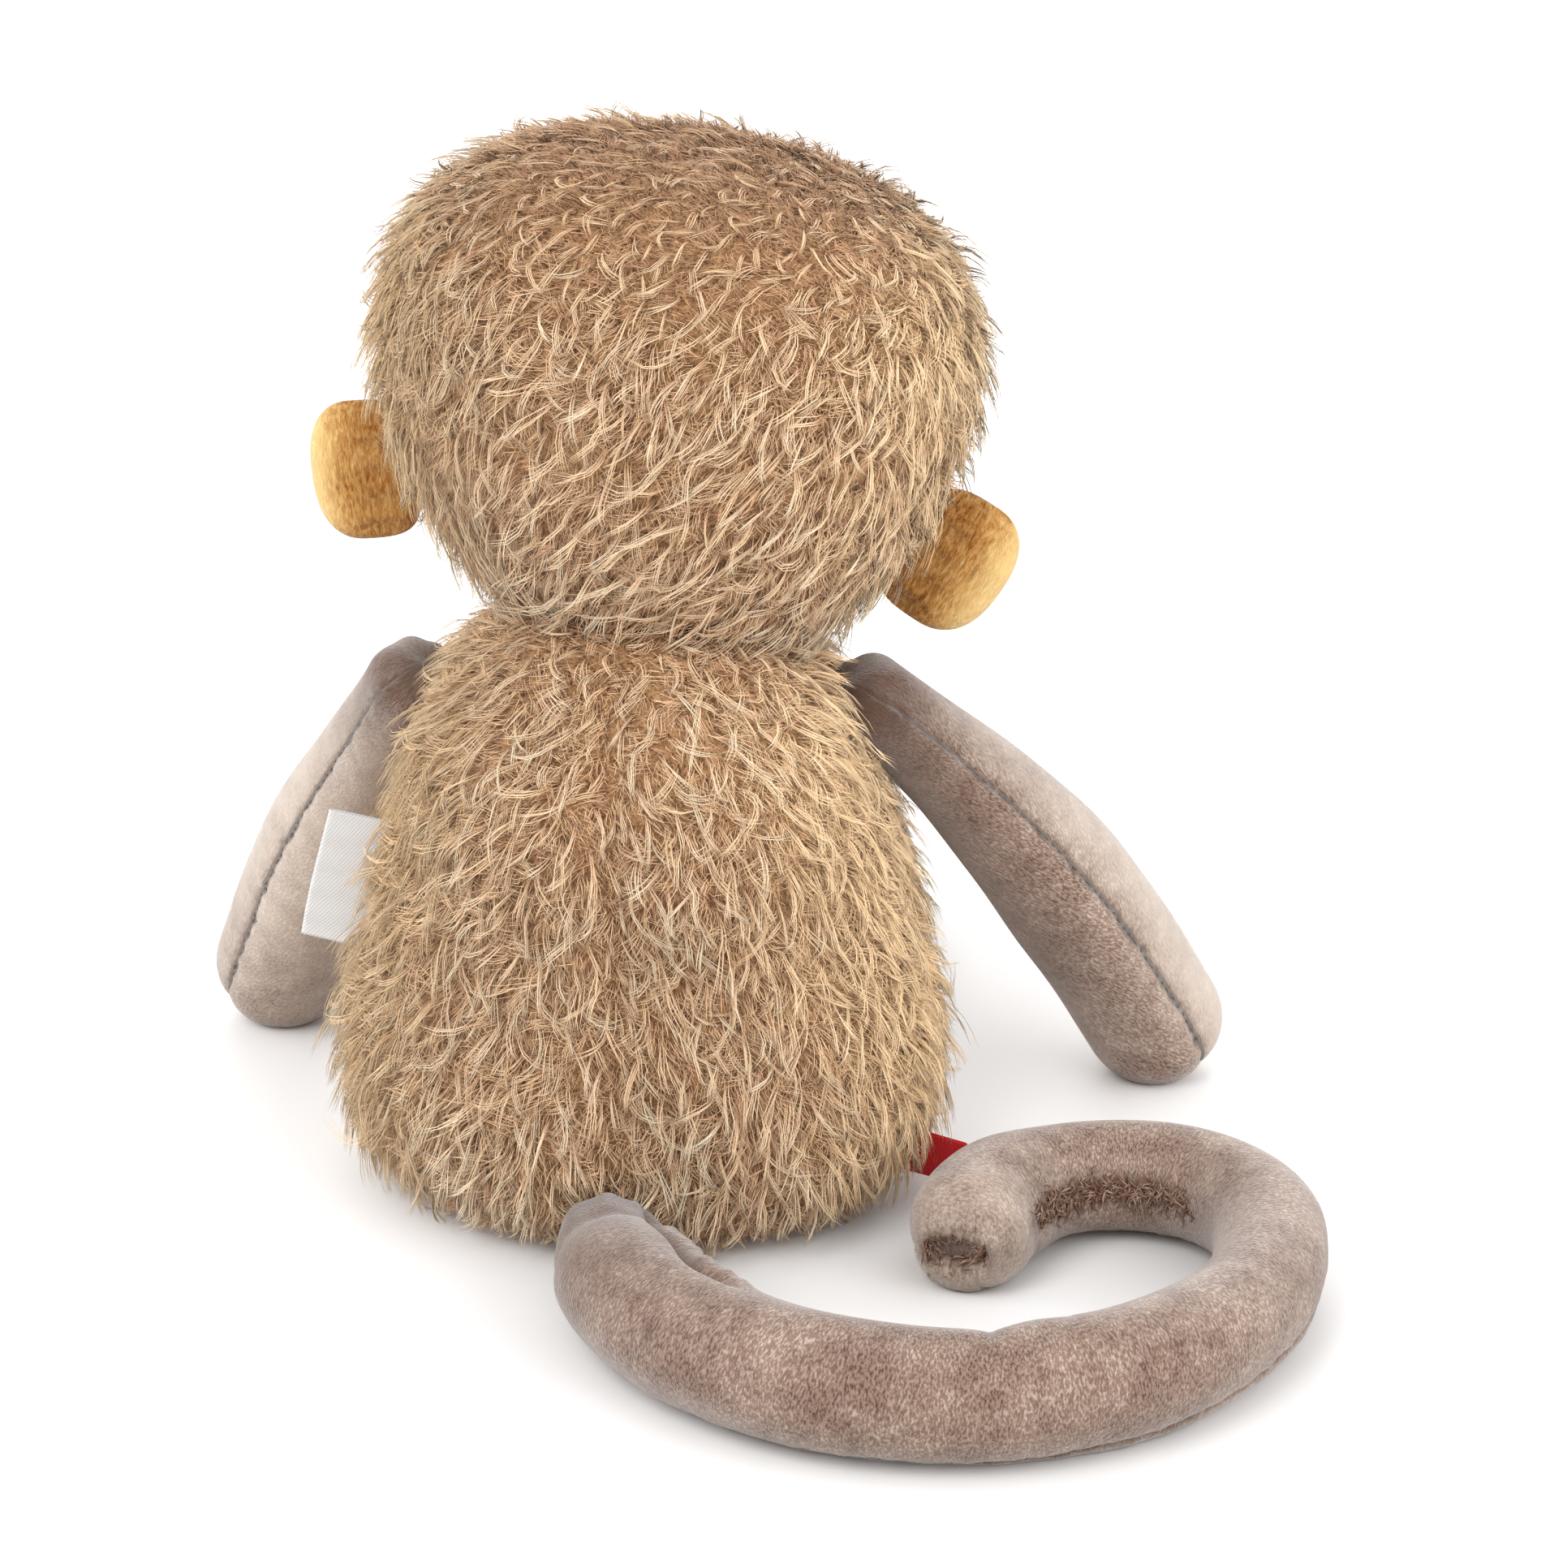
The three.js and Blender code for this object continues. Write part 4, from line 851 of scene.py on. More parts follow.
def resting_path(root, length, tip_radius, turn, side, bow, steps):
    """A quadratic curve from the root to a tip on the floor: (1-t)² root + 2t(1-t) middle + t² tip."""
    drop = root[2] - (tip_radius - FLOOR_FLAT)
    reach = np.sqrt(length ** 2 - drop ** 2)
    tip = root + np.array([side * reach * np.sin(turn), -reach * np.cos(turn), -drop])
    along = unit(tip - root)
    bow_way = unit(UP - along * along[2])
    middle = (root + tip) / 2 + bow_way * 2 * bow
    t = np.linspace(0, 1, steps)[:, None]
    return (1 - t) ** 2 * root + 2 * t * (1 - t) * middle + t ** 2 * tip


def limb_shape(turns, root_at, root_length=16.0):
    """The seams of a limb, and pleats where its root is gathered into the body, with pressed nap and painted
    shade.
    """
    sewn = seam_shape(turns)

    def share(place, turn):
        total, near = sewn(place, turn)
        root = np.exp(-np.clip(place - root_at, 0, None) / root_length)
        pleats = 0.035 * root * np.cos(7 * turn + 0.6 * np.sin(3 * turn))
        # At the root the seam mark is painted shade where the limb meets the body, with pressed nap there too.
        return total + pleats, np.maximum(near, 0.8 * root)
    return share


for name, side in SIDES:
    shoulder = SHOULDER * [side, 1, 1]
    arm_path = resting_path(shoulder, ARM_LENGTH, PAW_RADIUS, ARM_TURNS[name], side, ARM_BOWS[name], 120)
    arm_share = np.linspace(0, 1, len(arm_path))
    arm_path = arm_path - np.array(ARM_SHIFT[name]) * [side, -1, -1] * np.sin(np.pi * arm_share * 0.6)[:, None]
    arm_radii = ARM_ROOT_RADIUS + (PAW_RADIUS - ARM_ROOT_RADIUS + PAW_FULLNESS) * smooth_step(arm_share * 1.45)
    seam_way = unit(np.array([side, 1.0, 0.0]))
    arm = tube(arm_path, arm_radii, seam_way, ARM_COLUMNS, 14, limb_shape((0.0, np.pi), ARM_ROOT_RADIUS),
               slant=lambda place, turn: 0.35 * place * np.sign(np.sin(turn)))
    seam_lines = {"outer": arm["rings"][:, 0].copy(), "inner": arm["rings"][:, ARM_COLUMNS // 2].copy()}
    arm_middle = arm["rings"].mean(1)
    arm["rings"], arm["ends"] = (outside_body(part, -2.4) for part in (on_floor(arm["rings"]), arm["ends"]))
    # Painted light and shade: the upper side lighter, the lower side darker, a change at the paw, shade at the
    # root.
    lit_side_contrast, level, paw, root_shade = ARM_PAINTED_LIGHT[name]
    arm_painted_light = (lit_side_contrast * side * np.tanh(2.5 * np.sin(arm["turn"])) + level
                 + paw * smooth_step((arm["place"] - PAW_START) / PAW_EASE)
                 - 1.3 * np.exp(-arm["place"] / root_shade))
    arm_skin = skin(f"arm_{name}_skin", arm["rings"], arm["ends"], taupe_plush, f"arm_{name}",
                    arm["nap"], arm["seam"], arm_painted_light)
    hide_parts(f"arm_{name}_outer", f"arm_{name}_inner")
    filling(arm["rings"], 0.78, f"arm_{name}", f"arm_{name}_stuffing")
    for seam, line in seam_lines.items():
        stitches(f"arm_{name}_{seam}_stitches", line[ARM_SEWN_ROWS], (line - arm_middle)[ARM_SEWN_ROWS],
                 f"arm_{name}")
    print(f"arm_{name}: paw at", [round(v) for v in arm_path[-1]])


# %% [markdown]
# ## The legs
# The legs are out of the photograph's sight. They are plain legs of such a toy: they lie forwards on the floor,
# with a seam along each side, and end in a rounded foot.

# %% Sew the legs
HIP_SIDE, LEG_LENGTH, LEG_ROOT_RADIUS, FOOT_RADIUS = 32.0, 88.0, 12.0, 16.0
LEG_STAND_OFF, LEG_TURN, LEG_BOW = 9.0, np.radians(4.5), 5.0
LEG_STEPS, LEG_COLUMNS = 70, 112
LEG_SEWN_ROWS = slice(20, -8)
hip_height = FOOT_RADIUS - FLOOR_FLAT


def pear_depth(side, height):
    """Depth of the pear's cloth at a side offset and a height."""
    curve = np.sqrt(1 - ((BODY_WIDEST - height) / BODY_WIDEST) ** 2)
    width = SEAT_HALF_WIDTH + (BODY_HALF_WIDTH - SEAT_HALF_WIDTH) * curve
    return BODY_HALF_DEPTH * np.sqrt((width / BODY_HALF_WIDTH) ** 2 - (side / BODY_HALF_WIDTH) ** 2)


HIP_DEPTH = pear_depth(HIP_SIDE, hip_height) + LEG_STAND_OFF
for name, side in SIDES:
    hip = np.array([side * HIP_SIDE, -HIP_DEPTH, hip_height])
    leg_path = resting_path(hip, LEG_LENGTH, FOOT_RADIUS, LEG_TURN, side, LEG_BOW, LEG_STEPS)
    leg_radii = LEG_ROOT_RADIUS + (FOOT_RADIUS - LEG_ROOT_RADIUS) * smooth_step(np.linspace(0, 1, LEG_STEPS))
    leg = tube(leg_path, leg_radii, UP, LEG_COLUMNS, 12, limb_shape((np.pi / 2, -np.pi / 2), LEG_ROOT_RADIUS))
    leg_seams = {seam: leg["rings"][:, column].copy()
                 for seam, column in (("outer", LEG_COLUMNS // 4), ("inner", LEG_COLUMNS * 3 // 4))}
    leg_middle = leg["rings"].mean(1)
    leg_skin = skin(f"leg_{name}_skin", on_floor(leg["rings"]), leg["ends"], taupe_plush, f"leg_{name}",
                    leg["nap"], leg["seam"])
    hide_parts(f"leg_{name}_upper", f"leg_{name}_lower")
    filling(leg["rings"], 0.78, f"leg_{name}", f"leg_{name}_stuffing")
    for seam, line in leg_seams.items():
        stitches(f"leg_{name}_{seam}_stitches", line[LEG_SEWN_ROWS], (line - leg_middle)[LEG_SEWN_ROWS],
                 f"leg_{name}")
    print(f"leg_{name}: hip at", [round(v) for v in hip])


# %% [markdown]
# ## The tail
# The tail is one long sewn tube. It leaves the body low at the back, sweeps round to the toy's right and curls
# in tightly. Its middle line is found by walking along it: at each small step the heading turns by the step
# divided by the radius of the bend. The seams run low along both sides, and the cloth is gathered at the root.

# %% Tail sizes and form
TAIL_ROOT_RADIUS, TAIL_FULL_RADIUS, TAIL_TIP_RADIUS, TAIL_SWELL = 13.5, 16.8, 13.6, 34.0
TAIL_STAND_OFF, TAIL_ROOT_TURN, TAIL_ROOT_LENGTH = 11.0, np.radians(9.0), 5.0
TAIL_SWEEP_RADIUS, TAIL_SWEEP_ANGLE = 77.2, np.radians(177.5)
TAIL_CURL_RADIUS, TAIL_CURL_ANGLE = 35.5, np.radians(160.0)
TAIL_JOINT_AT = 176.0
TAIL_STRIDES, STRIDE_ROWS = 48, 6
tail_sweep = TAIL_SWEEP_RADIUS * TAIL_SWEEP_ANGLE
TAIL_LENGTH = TAIL_ROOT_LENGTH + tail_sweep + TAIL_CURL_RADIUS * TAIL_CURL_ANGLE


def tail_radius(walked):
    """Half thickness of the tail: a steady taper to the tip, less what is gathered in at the root."""
    gather = (TAIL_FULL_RADIUS - TAIL_ROOT_RADIUS) * (1 - smooth_step(walked / TAIL_SWELL))
    return TAIL_FULL_RADIUS + (TAIL_TIP_RADIUS - TAIL_FULL_RADIUS) * walked / TAIL_LENGTH - gather


def tail_line():
    """Heading = the running sum of stride / bend radius; place = that of stride × (cos, sin) of the heading.

    Between two strides the line is a cubic with the slopes (next - last) / 2, so that it runs smoothly."""
    stride = TAIL_LENGTH / TAIL_STRIDES
    middle = (np.arange(TAIL_STRIDES) + 0.5) * stride
    bend = np.where(middle > TAIL_ROOT_LENGTH + tail_sweep, TAIL_CURL_RADIUS, TAIL_SWEEP_RADIUS)
    heading = np.pi / 2 + TAIL_ROOT_TURN + np.cumsum(np.where(middle > TAIL_ROOT_LENGTH, stride / bend, 0))
    root = np.array([[0.0, pear_depth(0.0, TAIL_ROOT_RADIUS - FLOOR_FLAT) + TAIL_STAND_OFF]])
    walk = np.cumsum(stride * np.stack([np.cos(heading), np.sin(heading)], -1), 0)
    flat = np.concatenate([root, root + walk])
    knots = np.column_stack([flat, tail_radius(np.arange(TAIL_STRIDES + 1) * stride) - FLOOR_FLAT])
    slope = np.gradient(knots, axis=0)
    t = (np.arange(STRIDE_ROWS) / STRIDE_ROWS)[None, :, None]
    first, second, leaving, coming = (part[:, None] for part in (knots[:-1], knots[1:], slope[:-1], slope[1:]))
    ease = t * t * (3 - 2 * t)
    line = first + ease * (second - first) + t * (1 - t) ** 2 * leaving - t ** 2 * (1 - t) * coming
    line = np.concatenate([line.reshape(-1, 3), knots[-1:]])
    return line, np.linspace(0, TAIL_LENGTH, len(line))


PINCH_START, PINCH_END = 5.0, 84.0
CREASE_PLACE, CREASE_TURN = 64.0, np.radians(62.0)
NOTCH_PLACE, NOTCH_TURN = 144.0, np.radians(335.0)
CURL_TURN, CURL_PLACE, CURL_HALF = np.radians(279.0), 322.0, 36.0
INNER_SEAM_TURN = np.radians(206.0)
TIP_END = TAIL_LENGTH + TAIL_ROOT_RADIUS


def outer_seam_turn(place):
    """The outer seam runs under the tail at first and climbs its outer side further on."""
    return np.radians(153.0 - 46.0 * smooth_step((place - 115) / 150))


def tail_shape(place, turn):
    """Seams low on both sides, a rolled fold and pleats at the root, creases, a notch and a puckered curl."""
    outer_seam = outer_seam_turn(place)
    share, near = limb_shape((outer_seam, INNER_SEAM_TURN), TAIL_ROOT_RADIUS, 13.0)(place, turn)
    collar = np.exp(-((place - 25) / 5) ** 2) * (1 + 0.3 * np.cos(5 * turn))
    share = share - 0.11 * collar - 0.13 * (1 - smooth_step((place - 8) / 16))
    fold_turn = np.radians(311 + 0.52 * (place - TAIL_ROOT_RADIUS)) + 0.06 * np.sin(place / 4.5)
    fold_gap = turned_from(turn, fold_turn)
    fold = smooth_step((place - PINCH_START) / 12) * smooth_step((PINCH_END - place) / 14)
    share = share - 0.13 * fold * np.exp(-(fold_gap / 0.10) ** 2)
    rolled = np.exp(-((fold_gap + 0.33) / 0.19) ** 2) * (1 + 0.4 * ripple(place, 9.0, seed=3))
    share = share + 0.10 * fold * rolled
    # Painted shade along the fold's valley.
    near = np.maximum(near, 0.8 * fold * np.exp(-(fold_gap / 0.07) ** 2))
    beside = place - CREASE_PLACE - 4 * np.cos(turn - CREASE_TURN)
    crease = np.exp(-(turned_from(turn, CREASE_TURN) / 0.6) ** 2) * np.exp(-(beside / 4.0) ** 2)
    share = share - 0.026 * crease * (1 + np.cos(2 * np.pi * beside / 2.7))
    # Painted shade in the troughs of the creases.
    near = np.maximum(near, 0.7 * crease * np.clip(np.cos(2 * np.pi * beside / 2.7), 0, 1) ** 3)
    notch = np.exp(-(turned_from(turn, NOTCH_TURN) / 0.6) ** 2)
    share = share - 0.10 * notch * np.exp(-np.abs(place - NOTCH_PLACE) / 4)
    share = share + 0.04 * notch * np.exp(-((place - NOTCH_PLACE - 12) / 8) ** 2)
    # Painted shade in the notch.
    near = np.maximum(near, 0.5 * notch * np.exp(-np.abs(place - NOTCH_PLACE) / 1.2))
    curl_gap = turned_from(turn, CURL_TURN + 0.05 * ripple(place, 7.0, seed=4))
    curl = smooth_step(1.5 - np.abs(place - CURL_PLACE) / CURL_HALF)
    share = share - curl * np.exp(-(curl_gap / 0.36) ** 2) * (0.09 + 0.045 * ripple(place, 5.0, seed=2))
    ragged = 0.2 + 0.09 * ripple(place + 4 * np.sin(3 * turn), 2.6, seed=6)
    puckered = np.exp(-(curl_gap / ragged) ** 2) * (1.05 + 0.3 * ripple(place, 4.0, seed=5))
    # Painted shade in the puckered curl.
    near = np.maximum(near, curl * puckered)
    share = share - 0.05 * smooth_step((place - 175) / 40) * smooth_step((345 - place) / 40)
    share = share - 0.07 * np.exp(-(turned_from(turn, outer_seam * 0.82) / 0.5) ** 2)
    share = share + 0.13 * smooth_step((place - TIP_END + 34) / 22)
    return share, np.clip(near, 0, 1)


# %% Sew the tail
tail_path, walked = tail_line()
TAIL_COLUMNS = 160
TIP_ROWS, TIP_SLIT, TIP_DIMPLE = 13, 7.5, 3.2
# Painted light along the tail: each entry lightens it by a share from a place in mm, eased in over a length.
TAIL_PAINTED_LIGHT = ((0.2, 40, 50), (0.1, 185, 30), (0.2, 265, 25), (0.42, 345, 20))
tail = tube(tail_path, tail_radius(walked), UP, TAIL_COLUMNS, TIP_ROWS + 1, tail_shape,
            slant=lambda place, turn: 0.3 * place + 0 * turn, stretch=np.array([0.42, 0.42, 1.15]))
outer_column = np.round(outer_seam_turn(tail["place"].ravel()) / (2 * np.pi) * TAIL_COLUMNS).astype(int)
inner_column = round(INNER_SEAM_TURN / (2 * np.pi) * TAIL_COLUMNS)
every_row = np.arange(len(tail["rings"]))
tail_seams = {"outer": tail["rings"][every_row, outer_column],
              "inner": tail["rings"][:, inner_column].copy()}
tail_middle = tail["rings"].mean(1)

tip_way = slopes(tail_path)[-1]
tip_side = unit(np.cross(tip_way, UP))
closing = np.sin(np.linspace(0, np.pi / 2, TIP_ROWS + 2)[1:-1])[::-1, None]
slit = TIP_SLIT * (1 - closing) ** 2 * np.sin(tail["turn"])
dimple = TIP_DIMPLE * smooth_step(1 - closing * TAIL_TIP_RADIUS / 6.5)
tail["rings"][-TIP_ROWS:] += slit[..., None] * tip_side - dimple[..., None] * tip_way
tail["ends"][1] -= tip_way * TIP_DIMPLE
from_end = tail["rings"][-TIP_ROWS:] - tail["ends"][1]
tip_beside, tip_above = from_end @ tip_side, from_end[..., 2]
slit_edge = 3.8 + 1.2 * np.sin(tip_beside * 2.1) + 0.8 * np.sin(tip_beside * 4.7 + tip_above)
# Painted shade in the tip's slit.
slit_shade = 1.3 * np.exp(-(tip_above / slit_edge) ** 2 - (tip_beside / 9.0) ** 2)
tail["seam"] = tail["seam"].copy()
tail["seam"][-TIP_ROWS:] = np.clip(slit_shade, 0, 1)
tail["rings"], tail["ends"] = (outside_body(part, -1.5) for part in (on_floor(tail["rings"]), tail["ends"]))
# Painted light and shade: the tail is darker overall and much darker at its root, and lighter further along.
paler = sum(share * smooth_step((tail["place"] - start) / length) for share, start, length in TAIL_PAINTED_LIGHT)
tail["painted_light_and_tone"] = paler - 0.55 - 1.5 * np.exp(-tail["place"] / 20) + 0 * tail["turn"]
print("tail rings:", len(tail["rings"]))

# %% Join the tail's halves
BEND_HALF_LENGTH, BEND_UNDERLAP, BEND_EASE = 30.0, 10.0, 15.0
from_joint = tail["place"].ravel() - TAIL_ROOT_RADIUS - TAIL_JOINT_AT
hidden_half = BEND_HALF_LENGTH - BEND_UNDERLAP
root_end, end_start = np.searchsorted(from_joint, [-hidden_half, hidden_half])
bend_start, bend_end = np.searchsorted(from_joint, [-BEND_HALF_LENGTH, BEND_HALF_LENGTH])
proud = 0.25 - 0.8 * smooth_step((np.abs(from_joint) - BEND_HALF_LENGTH + 8) / 8)
sleeve = on_floor(tail["rings"] + unit(tail["rings"] - tail_middle[:, None]) * proud[:, None, None])


def bend_with_tail(piece):
    """A piece over the joint, with its place baked into its points; it rides on neither half of the tail."""
    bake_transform(piece)


tail_parts = {
    "root": (tail["rings"], slice(0, root_end + 1), "tail"),
    "bend": (sleeve, slice(bend_start, bend_end + 1), None),
    "end": (tail["rings"], slice(end_start, None), "tail_end"),
}
for name, (rings, rows, body) in tail_parts.items():
    closing_points = [tail["ends"][0] if name == "root" else rings[rows][0].mean(0),
                      tail["ends"][1] if name == "end" else rings[rows][-1].mean(0)]
    tail_skin = skin(f"tail_{name}_skin", rings[rows], closing_points, taupe_plush, body,
                     tail["nap"][rows], tail["seam"][rows], tail["painted_light_and_tone"][rows])
    if name == "bend":
        bend_with_tail(tail_skin)
    else:
        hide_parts(f"tail_{name}_upper", f"tail_{name}_lower")
        filling(rings[rows], 0.7, body, f"tail_{name}_stuffing")
sewn_rows = {"root": slice(24, root_end), "bend": slice(root_end, end_start), "end": slice(end_start, -9)}
for seam, line in tail_seams.items():
    for name, rows in sewn_rows.items():
        thread = stitches(f"tail_{name}_{seam}_stitches", line[rows], (line - tail_middle)[rows],
                          tail_parts[name][2])
        if name == "bend":
            bend_with_tail(thread)
print("tail length along its middle:", round(TAIL_LENGTH), "mm")


# %% [markdown]
# ## The ears
# Each ear is two rounded pieces of mustard plush, sewn round the rim and turned right side out, with thin
# batting between. It is thickest in the middle, drawn in along the rim seam, and gathered where it is sewn in.

# %% Ear sizes and form
EAR_REACH, EAR_HALF_HEIGHT, EAR_HALF_THICKNESS, EAR_DROP, EAR_ROOT_OUT = 17.5, 17.2, 4.8, 39.0, 4.3
EAR_HUB, EAR_SUNK = 5.0, 9.0
EARS = (("left", 1, EAR_REACH - 1.2, 0.3, -0.22), ("right", -1, EAR_REACH, 2.6, 0.0))


def ear_rings(reach_out, fold, rows=48, columns=120):
    """Rings from the front's middle over the rim to the back's: outline × sin angle, thickness × cos angle."""
    angle = np.linspace(0, np.pi, rows + 2)[1:-1, None]
    turn = np.linspace(0, 2 * np.pi, columns, endpoint=False)[None, :]
    reach = np.where(np.cos(turn) > 0, (reach_out - EAR_HUB) * np.abs(np.cos(turn)) ** 0.85,
                     -(EAR_HUB + EAR_SUNK) * np.abs(np.cos(turn)) ** 0.6)
    squareness = np.where(np.cos(turn) > 0, 0.8, 0.45)
    high = EAR_HALF_HEIGHT * np.sign(np.sin(turn)) * np.abs(np.sin(turn)) ** squareness
    share = np.sin(angle) ** 0.55
    x = EAR_HUB + reach * share
    z = high * share
    rim = 0.8 * np.exp(-((angle - np.pi / 2) / 0.3) ** 2)
    y = -(EAR_HALF_THICKNESS - rim) * np.cos(angle) + 0 * turn
    root = 1 - smooth_step(x / 9)
    y = y * (1 - 0.25 * root * (1 + np.cos(z * 0.9)) / 2)
    crease = np.exp(-((x - 4.0 - 0.3 * z) / 3.2) ** 2)
    y = y - fold * crease * np.sin(angle) * smooth_step(-2 * np.cos(angle))
    return np.stack([x, y, z], -1)


ear_places = []
drop_width = HEAD_HALF_WIDTH * np.sqrt(1 - (EAR_DROP / HEAD_CHIN) ** 2)
slope = np.arctan2(HEAD_HALF_WIDTH ** 2 * EAR_DROP, HEAD_CHIN ** 2 * drop_width)
for name, side, reach_out, fold, tilt in EARS:
    root = HEAD_CENTRE + [side * drop_width, 0, -EAR_DROP] + EAR_ROOT_OUT * np.array(
        [side * np.cos(slope), 0.0, -np.sin(slope)])
    out_way = np.array([side * np.cos(slope + tilt), 0.0, -np.sin(slope + tilt)])
    up_way = np.array([side * np.sin(slope + tilt), 0.0, np.cos(slope + tilt)])
    ear_places.append((root, up_way))
    local = ear_rings(reach_out, fold)
    placed = (root + local[..., :1] * out_way + local[..., 1:2] * np.array([0, 1.0, 0])
              + local[..., 2:] * up_way)
    ends = [root + EAR_HUB * out_way + np.array([0, way * EAR_HALF_THICKNESS, 0]) for way in (-1, 1)]
    # Painted shade near the head, where the ear is sewn in, and painted light towards its outer edge.
    ear_root_shade = 0.55 * (1 - smooth_step((local[..., 0] - 1.0) / 11.0))
    ear_skin = skin(f"ear_{name}_skin", lean(placed), [lean(end) for end in ends], mustard_plush, f"ear_{name}",
                    local * [1.2, 1.0, 0.3], ear_root_shade, 0.85 * smooth_step((local[..., 0] - 6) / 9))
    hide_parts(f"ear_{name}_front", f"ear_{name}_back")
    filling(lean(placed), 0.55, f"ear_{name}", f"ear_{name}_batting", lean(placed.mean((0, 1))))
    print(f"ear_{name} root at", [round(v) for v in lean(root)])


# %% [markdown]
# ## Eyes and mouth
# A safety eye is a glossy dome on a shank that goes through the face and is held by a washer behind it. The
# mouth is one thread, stitched in a shallow curve under the nose.

# %% Set the eyes
EYE_SPACING, EYE_LIFT, EYE_RADIUS, EYE_RISE, EYE_SUNK = 33.0, 3.0, 5.5, 3.6, 0.3
SHANK_RADIUS, SHANK_LENGTH = 1.8, 9.5


def turned_on(profile, foot, way, columns=48):
    """A profile of (radius, height) pairs, turned about a direction that starts at a foot point."""
    side = unit(np.cross(way, UP))
    other = np.cross(way, side)
    turn = np.linspace(0, 2 * np.pi, columns, endpoint=False)
    ring = side * np.cos(turn)[:, None] + other * np.sin(turn)[:, None]
    return foot + profile[:, None, :1] * ring[None] + profile[:, None, 1:] * way


dome = np.linspace(0, np.pi / 2, 16)[:-1]
eye_profile = np.concatenate([
    [[SHANK_RADIUS, -SHANK_LENGTH], [SHANK_RADIUS, 0.4], [EYE_RADIUS * 0.9, 0.4]],
    np.stack([EYE_RADIUS * np.cos(dome), 0.9 + (EYE_RISE - 0.9) * np.sin(dome)], -1),
])
for name, side in SIDES:
    across, height = side * EYE_SPACING / 2, EYE_LIFT
    foot = np.array([HEAD_CENTRE[0] + across, head_front(across, height) - FACE_RISE + EYE_SUNK,
                     HEAD_CENTRE[2] + height])
    way = unit(np.array([across / HEAD_HALF_WIDTH ** 2, (foot[1] - HEAD_CENTRE[1]) / HEAD_HALF_DEPTH ** 2,
                         height / HEAD_CROWN ** 2]))
    eye_rings = turned_on(eye_profile, foot, way)
    eye_ends = [lean(foot - way * SHANK_LENGTH), lean(foot + way * EYE_RISE)]
    eye_dome = skin(f"eye_{name}_dome", lean(eye_rings), eye_ends, eye_plastic, "head")
    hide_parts(f"eye_{name}")
print("eyes", EYE_SPACING, "mm apart")

# %% Stitch the mouth
MOUTH_HALF_WIDTH, MOUTH_THREAD_RADIUS = 9.0, 0.45
mouth_share = np.linspace(-1, 1, 41)
mouth_line = np.stack([MOUTH_HALF_WIDTH * mouth_share, -6.5 + 3.2 * mouth_share ** 2], -1)
drop_line = np.stack([0 * mouth_share, -1.0 - 2.75 * (mouth_share + 1)], -1)
for name, line in (("mouth_stitch", mouth_line), ("lip_stitch", drop_line)):
    across, upward = line[:, 0] / MUZZLE_HALF_WIDTH, line[:, 1] / MUZZLE_HALF_HEIGHT
    depth = MUZZLE_HALF_DEPTH * np.sqrt(1 - across ** 2 - upward ** 2) - muzzle_crease(line[:, 0], upward)
    path = muzzle_centre + np.stack([line[:, 0], -depth, line[:, 1]], -1)
    thread = tube(path, np.full(len(path), MOUTH_THREAD_RADIUS), np.array([0, -1.0, 0.2]), 10, 4)
    skin(name, lean(thread["rings"]), lean(thread["ends"]), dark_thread, "head")
print("mouth thread", round(2 * MOUTH_HALF_WIDTH), "mm wide")


# %% [markdown]
# ## The fur
# Fur cloth is knitted backing with pile fibres that stand up, lean the way they are combed and cling together
# in locks. Each hair here is a thin tapered tube with three sides, so that tens of thousands stay light. Its
# path rises from the cloth, leans with the comb and bends. Hairs of one lock are pulled towards a shared path,
# more and more towards the tip, which gives the pointed tufts.

# %% Pile helpers
HAIR_SIDES, MOST_HOOK = 3, 2.4
GOLDEN = (5 ** 0.5 - 1) / 2
UNDERCOAT = {
    "points": 3, "hairs": 10, "locks": 0.1, "width": 0.11, "reach": (0.40, 0.70), "rise": (0.7, 1.5),
    "curl": (0.15, 0.45), "hook": 1.0, "turned": 0.6, "clump": 0.25, "tone": (0.0, 0.46), "fade": 1.3,
    "footprint": 2.8,
}
GUARD = {
    "points": 6, "hairs": 5, "locks": 0.046, "width": 0.135, "reach": (0.9, 1.5), "rise": (0.45, 1.0),
    "curl": (0.02, 0.12), "hook": 0.85, "turned": 0.28, "clump": 0.94, "tone": (0.5, 1.0), "fade": 0.5,
    "footprint": 0.9,
}


def drift(points, size, seed):
    """A smooth random value at each point: three sine waves with random directions, of about a size in mm."""
    random = np.random.default_rng(seed)
    ways = unit(random.normal(size=(3, 3))) * 2 * np.pi / size
    return np.sin(points @ ways.T + random.uniform(0, 2 * np.pi, 3)).sum(-1) / 3


def surface_frame(surface, a, b, middle, step=1e-3):
    """Points, directions away from a middle point, and the millimetres covered by a unit of each parameter."""
    points = surface(a, b)
    along = (surface(a + step, b) - surface(a - step, b)) / (2 * step)
    around = (surface(a, b + step) - surface(a, b - step)) / (2 * step)
    normals = unit(np.cross(along, around))
    normals = normals * np.sign(np.einsum("ij,ij->i", normals, points - middle))[:, None]
    return points, normals, np.linalg.norm(along, axis=-1), np.linalg.norm(around, axis=-1)


